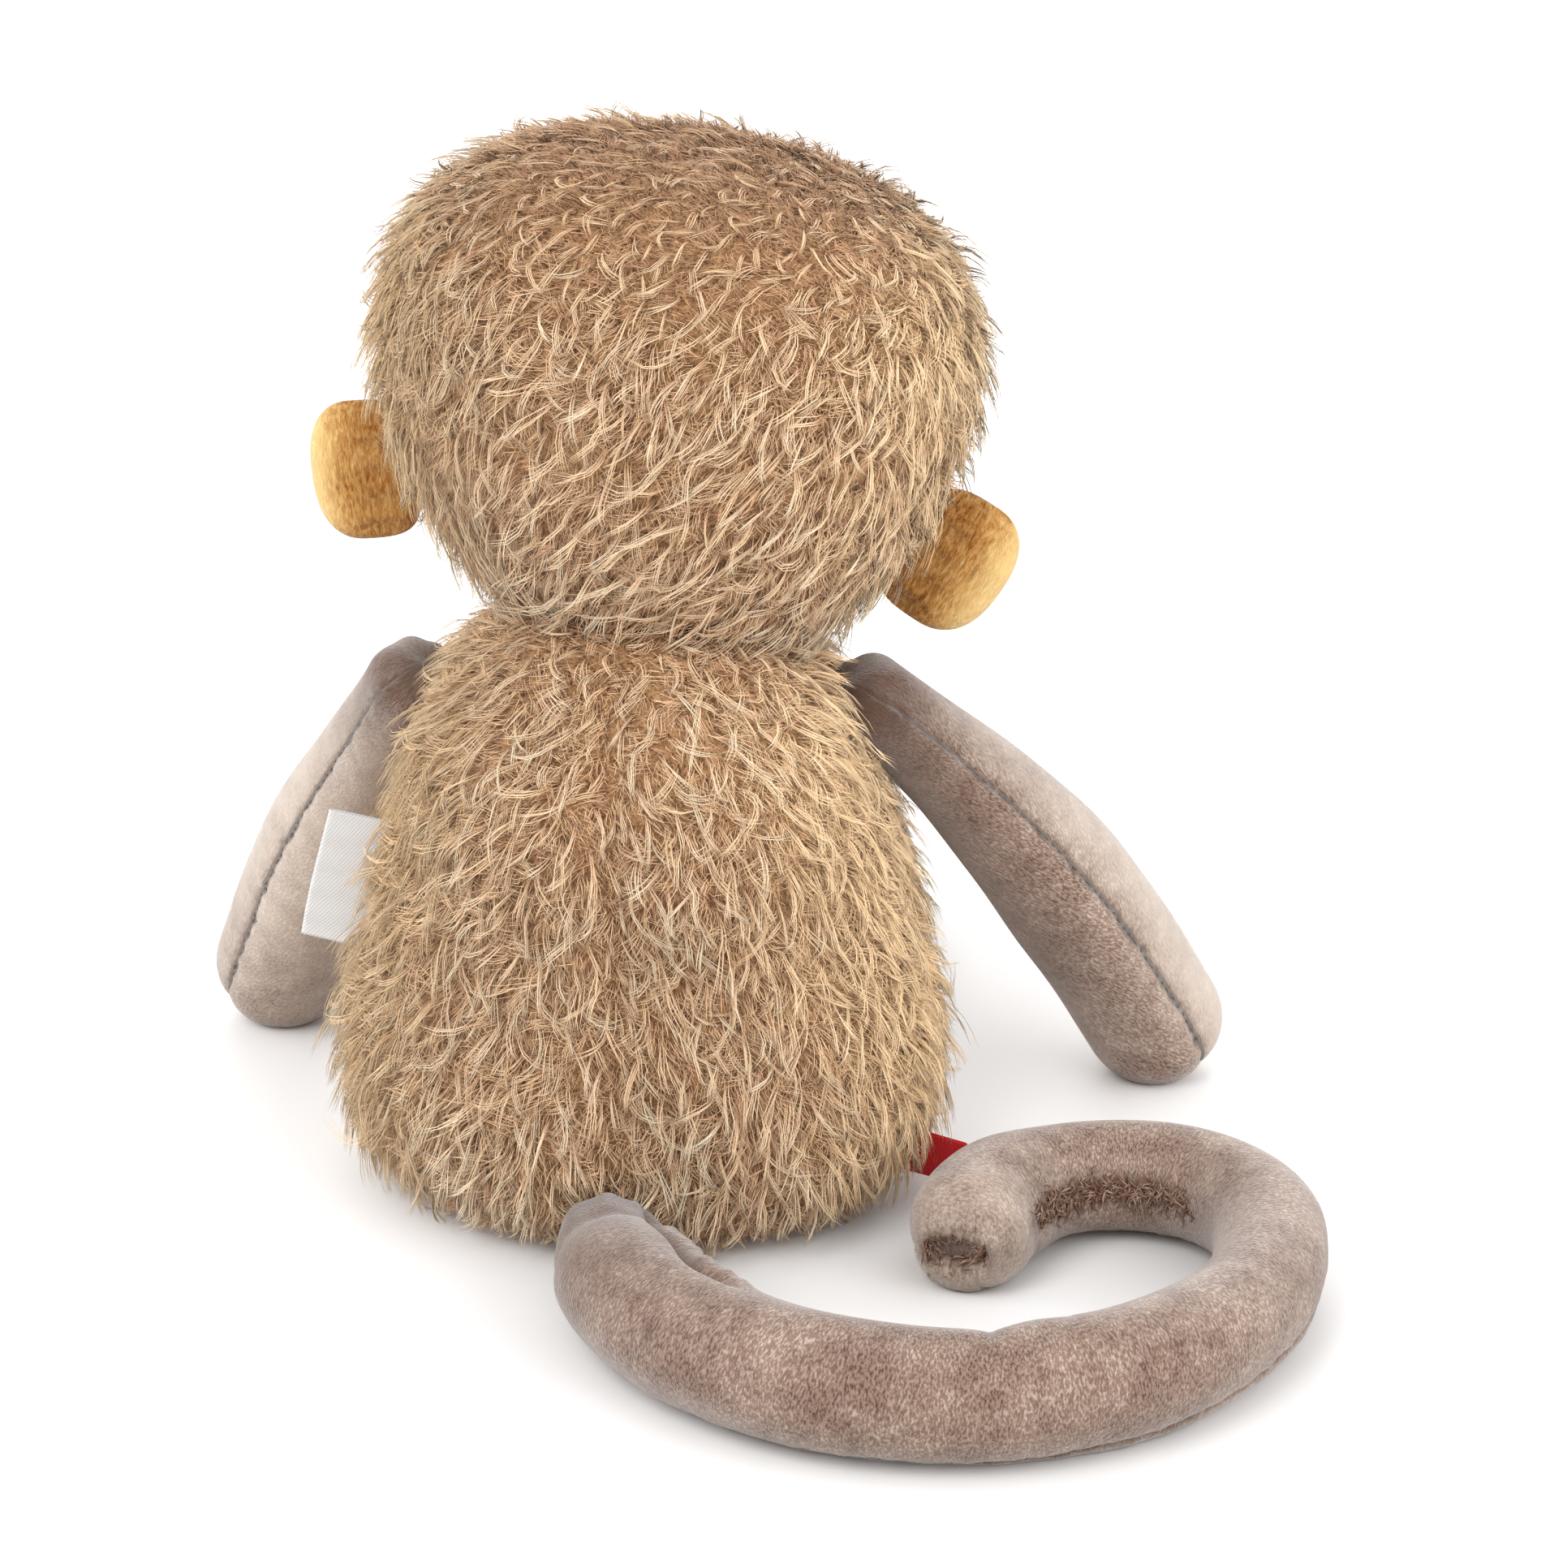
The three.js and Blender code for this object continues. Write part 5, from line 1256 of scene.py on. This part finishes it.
def spread_locks(surface, a_range, b_range, density, random):
    """Even places: equal steps of area along the first parameter, golden-ratio steps along the second."""
    a, b = np.linspace(*a_range, 161), np.linspace(*b_range, 161)
    grid = surface(a[:, None], b[None, :])
    along = np.linalg.norm(np.diff(grid, axis=0)[:, :-1], axis=-1)
    around = np.linalg.norm(np.diff(grid, axis=1)[:-1], axis=-1)
    covered = np.concatenate([[0], np.cumsum((along * around).sum(1))])
    count = int(covered[-1] * density)
    index = np.arange(count) + random.uniform(-0.4, 0.4, count)
    place_a = np.interp((index + 0.5) / count * covered[-1], covered, a)
    place_b = b_range[0] + np.ptp(b_range) * ((np.arange(count) * GOLDEN + random.normal(0, 0.004, count)) % 1)
    return place_a, place_b


def hair_paths(roots, normals, way, hair, points):
    """Root + size × (normal × rise + way × run + side × aside), with run s = 0.3t + 0.5t².

    The rise is 0.85t - 0.35t². The hook bends the run into an arc: its length is s - h²s³/6 along the comb and
    hs²/2 aside. The sway is a sine along the hair, which starts at nought and grows towards the tip."""
    t = np.linspace(0, 1, points)[None, :, None]
    size, rise, curl, phase, wave, hook = (
        hair[key][:, None, None] for key in ("size", "rise", "curl", "phase", "wave", "hook"))
    side = np.cross(normals, way)
    up = (0.85 * t - 0.35 * t ** 2) * rise
    run = 0.3 * t + 0.5 * t ** 2
    aside = hook * run ** 2 / 2 + curl * t * (np.sin(phase + wave * t) - np.sin(phase))
    along = run - hook ** 2 * run ** 3 / 6
    return roots[:, None] + size * (normals[:, None] * up + way[:, None] * along + side[:, None] * aside)


def combed_way(comb, normals, turned):
    """The comb's direction laid on the cloth, and turned about the cloth's normal by an angle."""
    way = unit(comb - normals * np.einsum("ij,ij->i", comb, normals)[:, None])
    return way * np.cos(turned)[:, None] + np.cross(normals, way) * np.sin(turned)[:, None]


def hair_mesh(paths, normals, radii):
    """Points and faces of tapered tubes along paths (hairs, points, 3), each closed by its foot and its tip."""
    count, places, _ = paths.shape
    along = unit(np.gradient(paths, axis=1))
    side = unit(np.cross(along, normals[:, None]))
    other = np.cross(side, along)
    turn = np.linspace(0, 2 * np.pi, HAIR_SIDES, endpoint=False)[None, None, :, None]
    ring = side[:, :, None] * np.cos(turn) + other[:, :, None] * np.sin(turn)
    rings = paths[:, :-1, None] + ring[:, :-1] * radii[..., None, None]
    per_hair = (places - 1) * HAIR_SIDES + 1
    points = np.concatenate([rings.reshape(count, per_hair - 1, 3), paths[:, -1:]], 1)
    start = (np.arange(count) * per_hair)[:, None, None]
    around = np.arange(HAIR_SIDES)
    onward = (around + 1) % HAIR_SIDES
    bands = np.arange(places - 2)[:, None] * HAIR_SIDES
    quads = np.stack([bands + around, bands + HAIR_SIDES + around, bands + HAIR_SIDES + onward, bands + onward],
                     -1)
    last = (places - 2) * HAIR_SIDES
    tips = np.stack([last + onward, last + around, np.full(HAIR_SIDES, per_hair - 1)], -1)
    triangles = np.concatenate([tips, around[None]])
    faces = [(quads.reshape(1, -1, 4) + start).reshape(-1, 4), (triangles[None] + start).reshape(-1, 3)]
    return points.reshape(-1, 3), faces, per_hair


def lay_pile(name, surface, a_range, b_range, middle, ways, coat, body, seed):
    """One layer of a panel's pile: hairs in locks, each pulled to its lock's path towards the tip."""
    random = np.random.default_rng(seed)
    a, b = spread_locks(surface, a_range, b_range, coat["locks"], random)
    centres, centre_normals, size_a, size_b = surface_frame(surface, a, b, middle)
    locks = len(a)
    lock = np.repeat(np.arange(locks), coat["hairs"])
    steps = random.normal(0, coat["footprint"] / 2, (2, len(lock)))
    steps = steps / [np.maximum(size, 0.1 * np.median(size))[lock] for size in (size_a, size_b)]
    roots, normals, _, _ = surface_frame(surface, a[lock] + steps[0], b[lock] + steps[1], middle)
    grows = ways["grows"](roots) & ways["grows"](centres)[lock]
    lock, roots, normals = lock[grows], roots[grows], normals[grows]
    count = len(lock)
    guide = {
        "size": ways["length"](centres) * random.uniform(*coat["reach"], locks),
        "rise": random.uniform(*coat["rise"], locks),
        "curl": random.uniform(*coat["curl"], locks) * random.choice([-1, 1], locks),
        "phase": random.uniform(0, 2 * np.pi, locks),
        "wave": random.uniform(2.5, 5.5, locks),
        "hook": random.normal(0, coat["hook"], locks).clip(-MOST_HOOK, MOST_HOOK),
    }
    turned = random.normal(0, coat["turned"], locks)
    spreads = {"size": (0.74, 1.12), "rise": (0.75, 1.3), "curl": (0.5, 1.5), "phase": (0.92, 1.08),
               "wave": (0.85, 1.15), "hook": (0.8, 1.25)}
    hair = {key: guide[key][lock] * random.uniform(*spreads[key], count) for key in guide}
    guide_way = combed_way(ways["comb"](centres), centre_normals, turned)
    hair_way = combed_way(ways["comb"](roots), normals, turned[lock] + random.normal(0, 0.15, count))
    guides = hair_paths(centres, centre_normals, guide_way, guide, coat["points"])
    paths = hair_paths(roots, normals, hair_way, hair, coat["points"])
    t = np.linspace(0, 1, coat["points"])[None, :, None]
    pull = (coat["clump"] * random.beta(3, 1.3, count))[:, None, None] * t ** 0.55
    paths = paths + (guides[lock] - paths) * pull
    paths[..., 2] = np.maximum(paths[..., 2], 0.6)
    taper = 1 - 0.6 * np.linspace(0, 1, coat["points"])[:-1] ** 2
    radii = coat["width"] * random.uniform(0.7, 1.3, (count, 1)) * taper
    points, faces, per_hair = hair_mesh(paths, normals, radii)
    pile = mesh_piece(name, points, faces, caramel_fur, body)
    along = np.append(np.repeat(t.ravel()[:-1], HAIR_SIDES), 1.0)
    tone = (random.uniform(*coat["tone"], locks) * ways["tone"](centres) ** coat["fade"])[lock]
    shares = [np.broadcast_to(along, (count, per_hair)), np.repeat(tone[:, None], per_hair, 1),
              np.repeat(random.uniform(size=(count, 1)), per_hair, 1)]
    mark(pile, "pile", np.stack(shares, -1).reshape(-1, 3))
    mark(pile, "stand", np.repeat(normals, per_hair, 0))
    print(f"{name}: {count} hairs in {locks} locks, {len(faces[0]) * 2 + len(faces[1])} triangles")


def lay_panels(panels, surface, middle, ways, body, first_seed):
    """Undercoat and guard hairs on each panel, which is given as the ranges of its two parameters."""
    for number, (name, (a_range, b_range)) in enumerate(panels.items()):
        for step, (layer, coat) in enumerate((("undercoat", UNDERCOAT), ("guard_hair", GUARD))):
            lay_pile(f"{name}_{layer}", surface, a_range, b_range, middle, ways, coat, body,
                     first_seed + 2 * number + step)


# %% [markdown]
# ## Ruffled nap on the tail
# Where the plush is gathered, inside the curl and at the blunt tip, its nap stands up in short dark tufts. They
# are made as the fur is, but shorter, and take the plush's own finish, with painted shade at the foot of each
# tuft.

# %% Ruffle the curl and the tip
TUFT_POINTS, TUFT_RADIUS, TUFT_SUNK = 4, 0.3, 0.3


def ruffle(name, rows, weights, middles, count, length, seed):
    """Curled hairs on a part of the tail's rings, placed by chance in proportion to a weight at each point."""
    random = np.random.default_rng(seed)
    chosen = random.choice(weights.size, count, p=(weights / weights.sum()).ravel())
    row, column = np.unravel_index(chosen, weights.shape)
    here = rows[row, column]
    around = rows[row, (column + 1) % TAIL_COLUMNS] - here
    onward = rows[np.minimum(row + 1, len(rows) - 1), column] - here
    normals = unit(here - middles[row])
    roots = here + around * random.uniform(size=(count, 1)) + onward * random.uniform(size=(count, 1))
    comb = around * random.choice([-1, 1], (count, 1)) + 0.3 * onward
    hair = {
        "size": length * random.uniform(0.6, 1.3, count), "rise": random.uniform(0.25, 0.7, count),
        "curl": random.uniform(-0.3, 0.3, count), "phase": random.uniform(0, 2 * np.pi, count),
        "wave": random.uniform(3, 6, count), "hook": random.normal(0, 1.3, count).clip(-MOST_HOOK, MOST_HOOK),
    }
    ways = combed_way(comb, normals, random.normal(0, 0.5, count))
    paths = hair_paths(roots - TUFT_SUNK * normals, normals, ways, hair, TUFT_POINTS)
    radii = TUFT_RADIUS * random.uniform(0.6, 1.3, (count, 1)) * np.array([1.0, 1.0, 0.75])
    points, faces, per_hair = hair_mesh(paths, normals, radii)
    tufts = mesh_piece(name, points, faces, taupe_tufts, "tail_end")
    along = np.append(np.repeat(np.linspace(0, 1, TUFT_POINTS)[:-1], HAIR_SIDES), 1.0)
    mark(tufts, "nap", np.repeat(roots + random.normal(0, 4, (count, 3)), per_hair, 0) * MM)
    # Painted shade at the foot of each tuft, and a random tone from tuft to tuft.
    mark(tufts, "seam", np.tile(0.95 * (1 - along) ** 1.6, count))
    mark(tufts, "painted_light_and_tone", np.repeat(random.uniform(-1.0, 0.7, count), per_hair))
    print(f"{name}: {count} hairs")


curl_rows = (tail["place"].ravel() > CURL_PLACE - 44) & (tail["place"].ravel() < CURL_PLACE + 26)
curl_place = tail["place"][curl_rows]
curl_gap = turned_from(tail["turn"], CURL_TURN + 0.05 * ripple(curl_place, 7.0, seed=4))
curl_weight = np.exp(-(curl_gap / 0.17) ** 2) * smooth_step(1.4 - np.abs(curl_place - CURL_PLACE + 6) / 34)
ruffle("tail_curl_tufts", tail["rings"][curl_rows], curl_weight, tail_middle[curl_rows], 620, 4.2, 61)
tip_heart = np.repeat((tail["ends"][1] - 11 * tip_way)[None], TIP_ROWS, 0)
tip_weight = tail["seam"][-TIP_ROWS:] ** 1.5 * (closing + 0.35) * (np.abs(tip_beside) < 8)
ruffle("tail_tip_tufts", tail["rings"][-TIP_ROWS:], tip_weight, tip_heart, 170, 3.4, 62)


# %% [markdown]
# ## Combing the body
# The body's fur falls straight down and swirls a little. Close to the floor it spreads outwards, and beside the
# middle seam it leans away from it. Nothing grows where a limb is sewn in or where the head sits.

# %% Lay the body's pile
HAIR_LENGTH = 12.5
LIMB_ROOTS = [(tail_path[0], TAIL_ROOT_RADIUS + 1.0)]
for _, side in SIDES:
    LIMB_ROOTS += [(SHOULDER * [side, 1, 1], ARM_ROOT_RADIUS - 1.5),
                   (np.array([side * HIP_SIDE, -HIP_DEPTH, hip_height]), LEG_ROOT_RADIUS + 0.5)]


def head_share(points):
    """How deep points lie in the head's egg: below 1 is inside."""
    local = lean(points, back=True) - HEAD_CENTRE
    across, back, upward = (local[..., k] for k in range(3))
    high = egg_height(upward / HEAD_CHIN)
    return (across / HEAD_HALF_WIDTH) ** 2 + (back / HEAD_HALF_DEPTH) ** 2 + (upward / high) ** 2


def body_grows(points):
    """True where the body has pile: outside the head and away from each limb's root."""
    free = (head_share(points) > 0.58) & (points[:, 2] > 4)
    for centre, radius in LIMB_ROOTS:
        free &= np.linalg.norm(points - centre, axis=1) > radius
    return free


def body_comb(points):
    """Down, a swirl to either side, away from the back seam, and outwards close to the floor."""
    away = unit(points * [1, 1, 0])
    around = np.cross(UP, away)
    swirl = 0.35 * drift(points, 46, 3) + 0.22 * drift(points, 19, 4)
    part = -0.45 * np.sign(points[:, 0]) * np.exp(-(points[:, 0] / 9) ** 2) * (points[:, 1] > 0)
    spread_low = 0.9 * smooth_step((20 - points[:, 2]) / 18)
    return -UP + around * (swirl + part)[:, None] + away * spread_low[:, None]


def body_length(points):
    """Hair length: shorter under the head and on the seat's edge, and longest low at the sides."""
    from_head = smooth_step((head_share(points) - 0.7) / 0.45)
    low_side = 0.15 * np.exp(-((points[:, 2] - 38) / 14) ** 2)
    seam = np.exp(-(points[:, 0] / 4) ** 2) * (points[:, 1] > 0)
    fullness = 0.45 + 0.55 * smooth_step(points[:, 2] / 26) + low_side - 0.25 * seam
    return HAIR_LENGTH * (0.38 + 0.62 * from_head) * fullness


def body_tone(points):
    """Share of pale fibre: less under the head and along the back seam; painted light at the sides and low
    down.
    """
    seam = np.exp(-(points[:, 0] / 7) ** 2) * (points[:, 1] > 0)
    under_head = 0.6 + 0.4 * smooth_step((head_share(points) - 1) / 0.4)
    # Painted light: paler fibre at the sides and low down.
    sides = 0.25 * smooth_step((np.abs(points[:, 0]) - 40) / 25) + 0.25 * smooth_step((60 - points[:, 2]) / 40)
    return ((under_head * (1 - 0.4 * seam) + sides) * (1 + 0.2 * drift(points, 30, 8))).clip(0.05)


LOWEST, HIGHEST = 3.0, 152.2
SEAM_TURN = 0.12
BODY_MIDDLE = np.array([0.0, 0.0, 70.0])
body_ways = {"grows": body_grows, "comb": body_comb, "length": body_length, "tone": body_tone}
body_turns = {
    "body_back_left": (SEAM_TURN, np.pi / 2), "body_back_right": (np.pi / 2, np.pi - SEAM_TURN),
    "body_front_right": (np.pi - SEAM_TURN, np.pi * 3 / 2),
    "body_front_left": (np.pi * 3 / 2, 2 * np.pi + SEAM_TURN),
}
body_panels = {name: ((LOWEST, HIGHEST), turns) for name, turns in body_turns.items()}
lay_panels(body_panels, body_cloth, BODY_MIDDLE, body_ways, "torso", 20)


# %% [markdown]
# ## Combing the head
# The head's fur was brushed from the upper right of the picture to the lower left, and its sides fall straight
# down. It keeps clear of the face oval and of the hollow under the head.

# %% Lay the head's pile
def head_grows(points):
    """True where the head has pile: outside the face oval and above the hollow's rim."""
    local = lean(points, back=True)
    middle = local - HEAD_CENTRE
    oval = (middle[:, 0] / FACE_HALF_WIDTH) ** 2 + ((middle[:, 2] + FACE_DROP) / FACE_HALF_HEIGHT) ** 2
    free = ((middle[:, 1] > 0) | (oval > 0.95)) & (np.linalg.norm(local, axis=1) > POCKET_RADIUS + 0.6)
    for root, up_way in ear_places:
        from_root = local - root
        high = from_root @ up_way
        in_plane = np.abs(from_root[:, 1]) < EAR_HALF_THICKNESS - 0.4
        on_side = from_root[:, 0] * np.sign(root[0]) > -20
        free &= ~(in_plane & on_side & (high > -EAR_HALF_HEIGHT) & (high < EAR_HALF_HEIGHT + 6))
    return free


def head_comb(points):
    """Down and to the toy's left across the back, straight down at the sides, away from the face in front."""
    middle = lean(points, back=True) - HEAD_CENTRE
    across = middle[:, 0] / HEAD_HALF_WIDTH
    slant = 0.75 * (1 - smooth_step((np.abs(across) - 0.45) / 0.4))
    swirl = 0.25 * drift(points, 52, 5) + 0.2 * drift(points, 21, 6)
    comb = np.stack([slant + swirl, 0.9 + 0 * slant, -1.0 + 0 * slant], -1)
    from_face = unit((middle + [0, 0, FACE_DROP]) * [1, 0, 1]) + [0, 0.6, 0]
    front = smooth_step(-middle[:, 1] / 30)[:, None]
    return comb * (1 - front) + from_face * front


def head_length(points):
    """Hair length: shorter round the face and at the rim of the hollow."""
    middle = lean(points, back=True) - HEAD_CENTRE
    rim = smooth_step((np.linalg.norm(lean(points, back=True), axis=1) - POCKET_RADIUS) / 12)
    crown = 0.22 * smooth_step((middle[:, 2] - 22) / 24)
    from_face = 0.72 + 0.28 * smooth_step((middle[:, 1] + 40) / 30)
    return HAIR_LENGTH * from_face * (1.1 - 0.1 * rim) * (1 - crown)


def head_tone(points):
    """Share of pale fibre: the crown is browner, and painted light makes the sides and the nape paler."""
    middle = lean(points, back=True) - HEAD_CENTRE
    crown = smooth_step((middle[:, 2] - 5) / 40)
    sides = smooth_step((np.abs(middle[:, 0]) - 30) / 35)
    nape = smooth_step((-middle[:, 2] - 25) / 35)
    # Painted light: paler at the sides and the nape.
    pale = 0.78 - 0.6 * crown * (1 - 0.8 * sides) + 0.45 * sides + 0.55 * nape
    return pale * (1 + 0.2 * drift(points, 34, 9))


HEAD_MIDDLE = lean(HEAD_CENTRE)
head_ways = {"grows": head_grows, "comb": head_comb, "length": head_length, "tone": head_tone}
SIDE_POLAR, NAPE_TURN, MIDDLE_TURN, FRONT_TURN = 0.85, -1.30, 0.15, np.pi * 0.62
between_sides = (SIDE_POLAR, np.pi - SIDE_POLAR)
head_panels = {
    "head_back_crown": (between_sides, (MIDDLE_TURN, FRONT_TURN)),
    "head_back_nape": (between_sides, (NAPE_TURN, MIDDLE_TURN)),
    "head_front": (between_sides, (FRONT_TURN, 2 * np.pi + NAPE_TURN)),
    "head_side_left": ((0.0, SIDE_POLAR), (0.0, 2 * np.pi)),
    "head_side_right": ((np.pi - SIDE_POLAR, np.pi), (0.0, 2 * np.pi)),
}
lay_panels(head_panels, head_cloth, HEAD_MIDDLE, head_ways, "head", 40)


# %% [markdown]
# ## The label and the tag
# Each is a ribbon, folded in half and caught by the side seam, so it has two layers with a round fold at the
# outer edge. Both are left bare. A sheet follows the folded line, and a Solidify modifier gives it thickness.

# %% Fold the ribbons
RIBBON_THICKNESS, LAYER_HALF_GAP, HELD_DEPTH = 0.22, 0.45, 2.0


def folded_ribbon(name, side, bottom, length, reach, material, body, node, tilt, lift):
    """A sheet whose first parameter runs out along one layer, round the fold and back along the other.

    lift is the angle at which it stands up from level, so that it is square to the seam."""
    rows, columns = 60, 48
    share = np.linspace(0, 1, rows)[:, None]
    upward = np.linspace(0, 1, columns)[None, :]
    out = reach * (1 - np.abs(2 * share - 1))
    layer = -LAYER_HALF_GAP * np.cos(np.pi * np.clip((share - 0.47) / 0.06, 0, 1))
    height = bottom + length * upward
    edge = body_radius(height, np.arcsin(SIDE_SEAM_DEPTH / body_radius(height, 0.0))) - HELD_DEPTH
    wave = tilt * (out / reach) * np.sin(np.pi * (upward - 0.2)) + 0.15 * np.sin(height * 0.9) * (out / reach)
    run = out + HELD_DEPTH * (out / reach)
    x = side * (edge * np.cos(0.13) + run * np.cos(lift))
    y = SIDE_SEAM_DEPTH + layer + wave
    grid = np.stack([x, y + 0 * x, height + run * np.sin(lift)], -1)
    here = (np.arange(rows - 1)[:, None] * columns + np.arange(columns - 1)).ravel()
    quads = np.stack([here, here + 1, here + columns + 1, here + columns], -1)
    faces = [quads if side > 0 else quads[:, ::-1]]
    ribbon = mesh_piece(name, grid.reshape(-1, 3), faces, material, body)
    thickness = ribbon.modifiers.new("thickness", "SOLIDIFY")
    thickness.thickness = RIBBON_THICKNESS * MM
    thickness.offset = 0
    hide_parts(node)


folded_ribbon("satin_label", 1, 58.5, 33.0, 14.0, white_satin, "side_label", "side_label", 0.8, 0.2)
folded_ribbon("ribbon_tag", -1, 6.5, 10.0, 11.0, red_ribbon, "red_tag", "red_tag", 0.5, -0.25)


# %% [markdown]
# ## Pieces inside
# The filling, the pellet bag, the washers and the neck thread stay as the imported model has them. Nobody sees
# them, but each gets the finish of its real material.

# %% Finish the inner pieces
inner_finish = {
    "neck_thread": caramel_thread, "eye_washer_left": pale_plastic, "eye_washer_right": pale_plastic,
    "pellet_pouch": pale_plastic,
}
for node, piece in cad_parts.items():
    if node.endswith(("_stuffing", "_batting")) or node in inner_finish:
        piece.data.materials.clear()
        piece.data.materials.append(inner_finish.get(node, white_filling))
print("inner pieces finished")

# %% [markdown]
# ## Light and floor
# The photograph has soft light from all round, brightest from above, on a white ground. A white world gives the
# ground its colour for the camera, and large area lamps shape the toy.

# %% Light the scene
def seen_directly(tree):
    """1 for a ray that comes from the camera, or to it by a mirror or through glass, and 0 for other light."""
    rays = tree.nodes.new("ShaderNodeLightPath").outputs
    return sums(tree, "MAXIMUM", rays["Is Camera Ray"],
                sums(tree, "MAXIMUM", rays["Is Glossy Ray"], rays["Is Transmission Ray"]))


world = bpy.data.worlds.new("studio")
scene.world = world
world.use_nodes = True
world_tree = world.node_tree
room_light = world_tree.nodes["Background"]
room_light.inputs["Color"].default_value = (1, 1, 1, 1)
room_light.inputs["Strength"].default_value = 0.95
seen_light = world_tree.nodes.new("ShaderNodeBackground")
seen_light.inputs["Color"].default_value = (1, 1, 1, 1)
seen_light.inputs["Strength"].default_value = 1.0
choice = world_tree.nodes.new("ShaderNodeMixShader")
world_tree.links.new(seen_directly(world_tree), choice.inputs[0])
world_tree.links.new(room_light.outputs[0], choice.inputs[1])
world_tree.links.new(seen_light.outputs[0], choice.inputs[2])
world_tree.links.new(choice.outputs[0], world_tree.nodes["World Output"].inputs["Surface"])

# Each lamp has a place and a size in metres, and a power in watts.
LAMPS = {
    "key": ((0.55, 1.15, 1.35), 0.9, 12.5),
    "fill": ((-1.2, 0.9, 0.7), 1.0, 8.0),
    "front": ((0.2, -1.3, 0.9), 1.0, 8.0),
    "left": ((1.4, 0.0, 0.5), 0.9, 8.0),
    "right": ((-1.4, 0.0, 0.5), 0.9, 5.0),
}
for name, (place, size, power) in LAMPS.items():
    lamp = bpy.data.objects.new(name, bpy.data.lights.new(name, "AREA"))
    lamp.data.size = size
    lamp.data.energy = power
    lamp.location = place
    lamp.rotation_euler = (Vector(place) - Vector((0, 0, 0.1))).to_track_quat("Z", "Y").to_euler()
    scene.collection.objects.link(lamp)

FLOOR_HALF = 3.0
LIT_GROUND, SEEN_GROUND = (0.62, 0.60, 0.58, 1), (0.92, 0.92, 0.92, 1)
floor_mesh = bpy.data.meshes.new("floor")
ground = [(x * FLOOR_HALF, y * FLOOR_HALF, 0) for x, y in ((-1, -1), (1, -1), (1, 1), (-1, 1))]
floor_mesh.from_pydata(ground, [], [(0, 1, 2, 3)])
floor = bpy.data.objects.new("floor", floor_mesh)
scene.collection.objects.link(floor)
floor_material, floor_tree, floor_shader = new_material("white ground", 0.9)
floor_seen = seen_directly(floor_tree)
floor_colour = blend_colours(floor_tree, floor_seen, LIT_GROUND, SEEN_GROUND)
floor_tree.links.new(floor_colour, floor_shader.inputs["Base Color"])
from_middle = floor_tree.nodes.new("ShaderNodeVectorMath")
from_middle.operation = "LENGTH"
floor_tree.links.new(floor_tree.nodes.new("ShaderNodeTexCoord").outputs["Object"], from_middle.inputs[0])
far_white = spread(floor_tree, from_middle.outputs["Value"], 0.4, 1.2, 0.0, 0.25)
floor_shader.inputs["Emission Color"].default_value = (1, 1, 1, 1)
floor_glow = sums(floor_tree, "MULTIPLY", floor_seen, far_white)
floor_tree.links.new(floor_glow, floor_shader.inputs["Emission Strength"])
floor_mesh.materials.append(floor_material)
print("lamps:", list(LAMPS))
